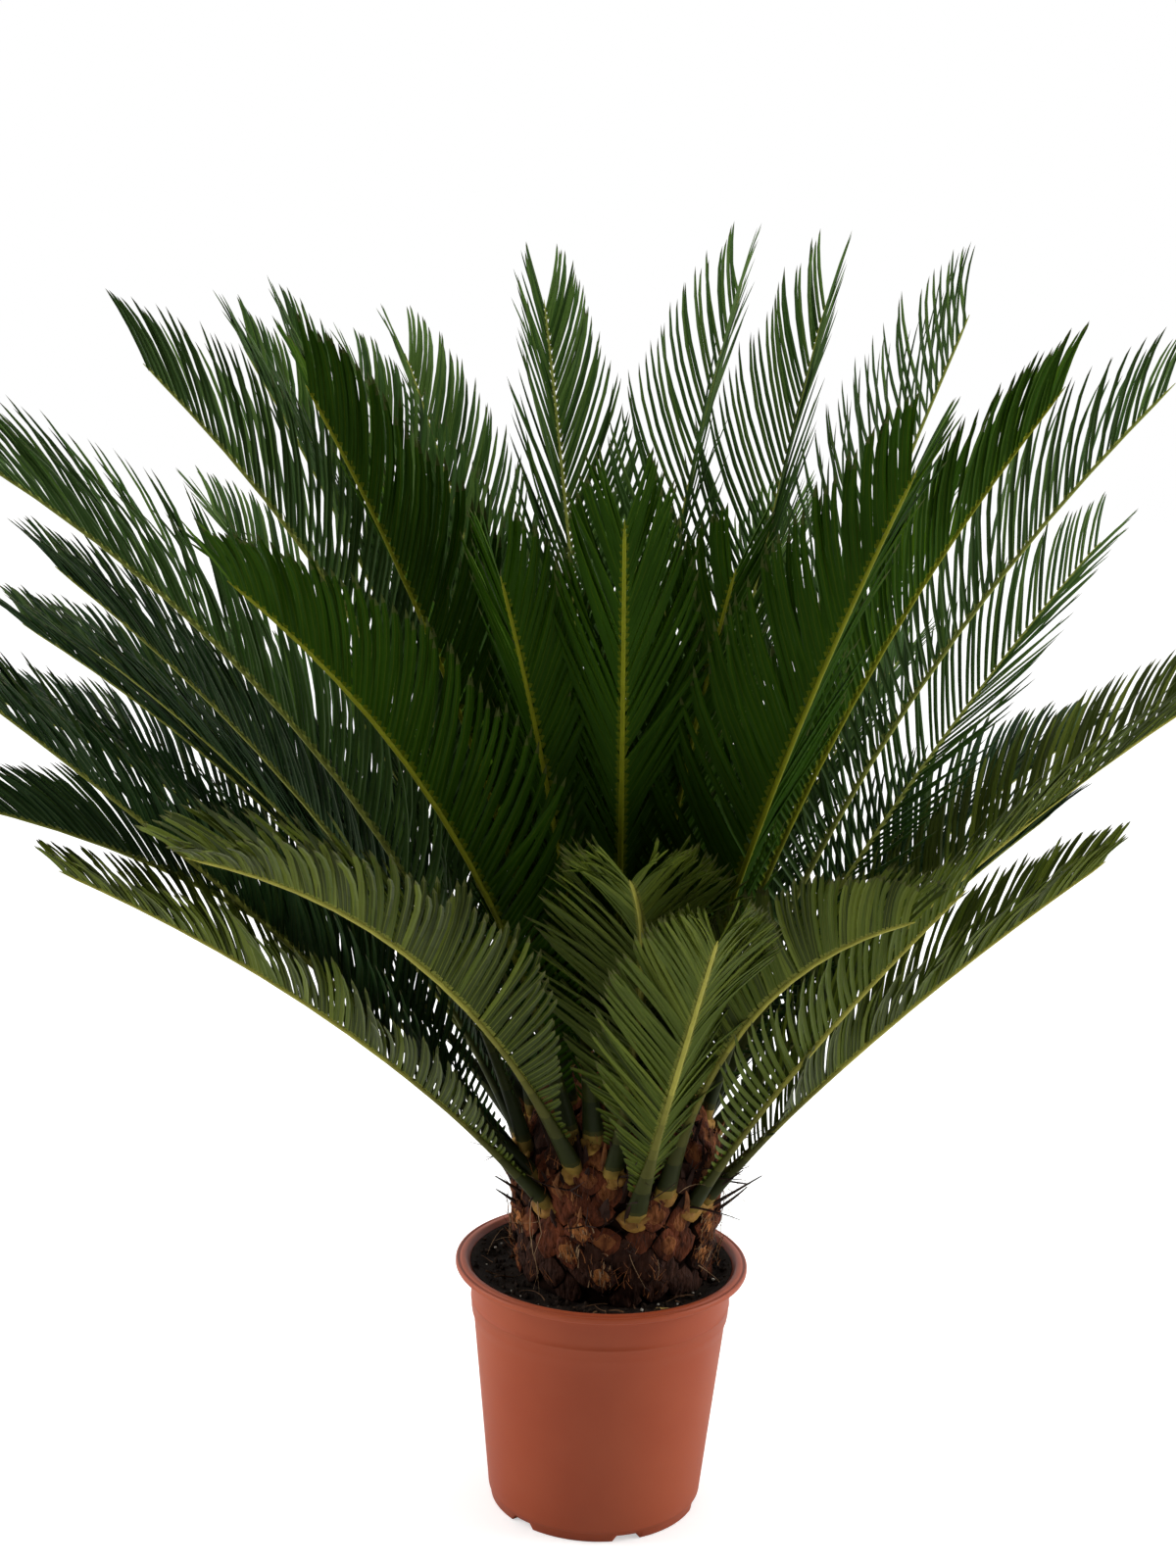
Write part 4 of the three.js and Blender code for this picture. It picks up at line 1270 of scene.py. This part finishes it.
def leaflets_of(sizes, curve, settings, rng):
    """Corner points of every leaflet of one frond: leaflets x 31 x 3."""
    kind = TINTS[sizes["tint"]]
    pitch = kind["pitch"] * settings.spacing * sizes["open"]
    count = int(rib_length(curve) * (LAST_PLACE - ROW_START) / pitch)
    many = 2 * count
    row = mix(ROW_START, ROW_END, (np.arange(count) + 0.5) / count)
    side = np.repeat([1.0, -1.0], count)
    share = np.concatenate([row, row + 0.35 / count]) + rng.normal(0, 0.12 / count, many)
    place = np.clip((share - BARE_SHARE) / (LAST_PLACE - BARE_SHARE), 0, 1)
    centre, along, up, right = rib_frames(curve, share)
    rib_width, rib_thickness = rib_sizes(share)
    root = centre + right * (side * rib_width * 0.3)[:, None] + up * (rib_thickness * 0.2)[:, None]

    long = leaflet_length(place, sizes["leaflet"]) * rng.uniform(0.93, 1.03, many)
    long *= mix(0.14, 1.0, smooth_step(share, 0.05, 0.3))
    long *= np.where(rng.random(many) < 0.012, rng.uniform(0.3, 0.7, many), 1)
    slow_vee = drift(rng, row, 4.0)
    slow_lean = drift(rng, row, 1.6)
    stray = np.where(rng.random(many) < 0.05, 4.0, 1.0)
    risen = smooth_step(share, RISE_START, RISE_END)
    roll = side * sizes["roll"] * mix(ROLL_AT_FOOT, 1.0, risen)
    vee = mix(VEE_AT_FOOT, sizes["vee"], risen) + roll
    vee = np.radians(vee + slow_vee + rng.normal(0, 2.2, many) * stray)
    lean = mix(ANGLE_AT_FOOT, ANGLE_AT_TIP, place) + sizes["spread"]
    lean = np.radians(lean + slow_lean + rng.normal(0, 1.0, many) * stray)
    lateral = right * (side * np.cos(vee))[:, None] + up * np.sin(vee)[:, None]
    face = up * np.cos(vee)[:, None] - right * (side * np.sin(vee))[:, None]

    bend = settings.bend * rng.uniform(0.75, 1.25, many)
    angle = (lean[:, None] + bend[:, None] * (0.3 - STRAP_STEPS ** 2))[..., None]
    heading = along[:, None] * np.cos(angle) + lateral[:, None] * np.sin(angle)
    stride = np.diff(STRAP_STEPS)[None, :, None] * (heading[:, :-1] + heading[:, 1:]) / 2
    path = np.concatenate([np.zeros((many, 1, 3)), np.cumsum(stride, 1)], 1) * long[:, None, None]
    hang = np.radians(sizes["hang"]) * (1 + rng.normal(0, 0.6, many))
    path -= face[:, None] * (long * hang)[:, None, None] * (STRAP_STEPS ** 2)[None, :, None]
    path += root[:, None]

    across = np.cross(heading, face[:, None])
    twist = (-side * (settings.twist + rng.normal(0, 0.12, many)))[:, None, None]
    tilted = across * np.cos(twist) + face[:, None] * np.sin(twist)
    normal = face[:, None] * np.cos(twist) - across * np.sin(twist)
    ends = (mix(0.8, 1.0, sizes["blunt"]), mix(0.4, 0.88, sizes["blunt"]))
    narrow = mix(0.6, 1.0, np.minimum(1, long / 80)) * mix(1.0, 0.85, place ** 2)
    narrow *= sizes["open"] ** (-0.4 if sizes["open"] > 1 else 0.4)
    width = kind["width"] * settings.width * narrow[:, None] * np.array([0.72, 0.9, 1, 1, *ends])
    return straps(path, tilted, normal, width / 2)


class PALM_OT_leaflets(Operator):
    """Make the leaflets of every frond, joined by tint"""

    bl_idname = "palm.leaflets"
    bl_label = "Leaflets"

    def execute(self, context):
        settings = context.scene.palm_fronds
        rng = np.random.default_rng(41)
        groups = {}
        for name, sizes, curve in all_fronds():
            high = sizes["tint"] == "rear" and name.split("_")[1] in ("top", "upper", "middle")
            leaflets = leaflets_of(sizes, curve, settings, rng)
            # Painted light and painted shade are dealt out to the leaflets of each frond.
            shades = painted_leaf_shading(len(leaflets), sizes["painted_shade_bias"], rng)
            made = (leaflets, strap_slots(shades, sizes["painted_shade_bias"] != 0))
            groups.setdefault(sizes["tint"] + ("_high" if high else ""), []).append(made)
        finishes = {tint: leaf_finishes(settings, tint) for tint in TINTS}
        for key, parts in groups.items():
            points, slots = (np.concatenate([part[k] for part in parts]) for k in range(2))
            mesh = mesh_of_copies(points, STRAP_FACES, slots)
            add_piece(f"leaflets_{key}", mesh, finishes[key.split("_")[0]])
        return {"FINISHED"}


def painted_leaf_shading(many, painted_shade_bias, rng):
    """Painted light and shade of each leaflet: mostly painted shade near the foot of a frond,
    inside the crown, and painted light at its tip, with some of each at random. A frond with a
    painted shade bias has more of the dark ones."""
    place = np.tile((np.arange(many // 2) + 0.5) / (many // 2), 2)
    # Painted shade: dark leaflets are dealt out most near the frond's foot, where the crown shades
    # it.
    dark = painted_shade_bias + 0.62 * (1 - smooth_step(place, 0.1, 0.7)) + rng.uniform(0.02, 0.14)
    # Painted light: light leaflets are dealt out most towards the tip.
    light = 0.45 * smooth_step(place, 0.35, 1.0) + rng.uniform(0.03, 0.2)
    draw = rng.random(many)
    return np.where(draw < dark, PAINTED_SHADE, np.where(draw > 1 - light, PAINTED_LIGHT, UPPER))


def strap_slots(shades, both_faces):
    """Slots of each leaflet's faces: its upper face takes its painted light or painted shade,
    and so does its underside where both faces get it."""
    slots = np.repeat(np.array(STRAP_SLOTS)[None, :], len(shades), 0)
    under = np.where((shades == UPPER) | (not both_faces), UNDER, shades)
    slots = np.where(slots == UNDER, under[:, None], slots)
    return np.where(slots == UPPER, shades[:, None], slots)


def leaf_finishes(settings, tint):
    """Finishes of one tint of leaflet, in the order of its parts. The second and third are the
    upper green made lighter and darker: painted light and painted shade.
    """
    upper = getattr(settings, tint)
    rib = getattr(settings, f"{tint}_rib")
    under = tinted(upper, TINTS[tint]["under"])
    # The second colour is painted light and the third painted shade: lighter and darker copies of
    # the upper green.
    colours = (upper, mixed(tinted(upper, 1.36), rib, 0.1), tinted(upper, 0.56), under,
               mixed(under, rib, 0.1), mixed(under, rib, 0.4),
               mixed(upper, shade((96, 84, 60)), 0.35))
    return [finish_material(f"leaf_{tint}_{part}", first, tinted(first, 0.76), roughness=0.46,
                            patch=14.0, fine=160.0, speckle=0.35, specular=TINTS[tint]["gloss"])
            for part, first in zip(LEAF_PARTS, colours)]


# ---------------------------------------------------------------- stage


class PALM_OT_stage(Operator):
    """Set the camera, the pale floor and the soft lights"""

    bl_idname = "palm.stage"
    bl_label = "Stage"

    def execute(self, context):
        settings = context.scene.palm_stage
        self.camera(context.scene, settings)
        self.floor()
        self.world(context.scene)
        self.lights(settings.key)
        context.scene.view_settings.view_transform = "Standard"
        context.scene.view_settings.look = "None"
        return {"FINISHED"}

    def camera(self, scene, settings):
        """The camera in front of the pot, turned by its yaw, pitch and roll."""
        data = bpy.data.cameras.new("camera")
        data.lens = settings.lens
        data.sensor_width = 36.0
        data.clip_start = 0.05
        data.clip_end = 100.0
        flat = Vector((math.sin(settings.yaw), math.cos(settings.yaw), 0))
        forward = flat * math.cos(settings.pitch) - Vector((0, 0, math.sin(settings.pitch)))
        level = Vector((math.cos(settings.yaw), -math.sin(settings.yaw), 0))
        upright = level.cross(forward)
        right = level * math.cos(settings.roll) + upright * math.sin(settings.roll)
        above = upright * math.cos(settings.roll) - level * math.sin(settings.roll)
        turn = Matrix((right, above, -forward)).transposed().to_4x4()
        place = Matrix.Translation((0, -settings.distance, settings.height))
        scene.camera = linked("camera", data)
        scene.camera.matrix_world = place @ turn

    def floor(self):
        """A wide pale floor, lifted towards white where the camera looks at it."""
        bm = bmesh.new()
        bmesh.ops.create_circle(bm, cap_ends=True, segments=96, radius=FLOOR_RADIUS)
        plain = finish_material("floor", (0.78, 0.78, 0.77), (0.8, 0.8, 0.79), patch=0.6,
                                fine=4.0, specular=0.2)
        tree = plain.node_tree
        shader = set_inputs(tree.nodes["Principled BSDF"], {"Emission Color": (1, 1, 1, 1)})
        seen = new_node(tree, "LightPath")
        glow = new_node(tree, "Math", {1: FLOOR_GLOW})
        glow.operation = "MULTIPLY"
        wire(tree, (seen, "Is Camera Ray", glow, 0), (glow, "Value", shader, "Emission Strength"))
        mesh = mesh_from(bm, smooth=False)
        mesh.name = "floor"
        mesh.materials.append(plain)
        floor = linked("floor", mesh)
        floor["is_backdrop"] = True

    def world(self, scene):
        """A white sky that lights the plant more from behind than from the front."""
        world = bpy.data.worlds.new("studio")
        world.use_nodes = True
        tree = world.node_tree
        place = new_node(tree, "TexCoord")
        parts = new_node(tree, "SeparateXYZ")
        ramp = new_node(tree, "MapRange", {"From Min": -0.75, "From Max": 0.3,
                                           "To Min": FRONT_LIGHT, "To Max": BACK_LIGHT})
        ramp.interpolation_type = "SMOOTHSTEP"
        seen = new_node(tree, "LightPath")
        strength = new_node(tree, "Mix", {"B": 1.0})
        background = set_inputs(tree.nodes["Background"], {"Color": (1.0, 1.0, 1.0, 1)})
        wire(tree, (place, "Generated", parts, "Vector"), (parts, "Y", ramp, "Value"),
             (seen, "Is Camera Ray", strength, "Factor"), (ramp, "Result", strength, "A"),
             (strength, "Result", background, "Strength"))
        scene.world = world

    def lights(self, power):
        """Soft area lights at both sides and above, aimed at the middle of the plant."""
        for name, spot, size in AREA_LIGHTS:
            data = bpy.data.lights.new(name, "AREA")
            data.energy = power
            data.size = size
            light = linked(name, data)
            light.location = spot
            aim = Vector(LIGHTS_AIM) - light.location
            light.rotation_euler = aim.to_track_quat("-Z", "Y").to_euler()


# ---------------------------------------------------------------- panel and registration


class PALM_PT_panel(Panel):
    """Lists the settings and the pieces of the palm."""

    bl_label = "Sago Palm"
    bl_idname = "PALM_PT_panel"
    bl_space_type = "VIEW_3D"
    bl_region_type = "UI"
    bl_category = "Sago Palm"

    def draw(self, context):
        layout = self.layout
        for owner in SETTINGS:
            box = layout.box()
            group = getattr(context.scene, owner)
            for key in group.__annotations__:
                box.prop(group, key)
        for operator in OPERATORS:
            layout.operator(operator.bl_idname)


SETTINGS = {
    "palm_pot": PotSettings,
    "palm_trunk": TrunkSettings,
    "palm_fronds": FrondSettings,
    "palm_stage": StageSettings,
}
OPERATORS = (PALM_OT_pot, PALM_OT_soil, PALM_OT_trunk, PALM_OT_fibres, PALM_OT_ribs,
             PALM_OT_leaflets, PALM_OT_stage)


def register():
    for cls in (*SETTINGS.values(), *OPERATORS, PALM_PT_panel):
        bpy.utils.register_class(cls)
    for owner, cls in SETTINGS.items():
        setattr(bpy.types.Scene, owner, PointerProperty(type=cls))


def unregister():
    for owner in SETTINGS:
        delattr(bpy.types.Scene, owner)
    for cls in (PALM_PT_panel, *reversed(OPERATORS), *reversed(SETTINGS.values())):
        bpy.utils.unregister_class(cls)


def main():
    register()
    for operator in (bpy.ops.palm.pot, bpy.ops.palm.soil, bpy.ops.palm.trunk, bpy.ops.palm.fibres,
                     bpy.ops.palm.ribs, bpy.ops.palm.leaflets, bpy.ops.palm.stage):
        operator()
    boxes = {"cad": CAD_BOX, "visual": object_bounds()}
    {key: [list(corner) for corner in box] for key, box in boxes.items()}


if __name__ == "__main__":
    main()
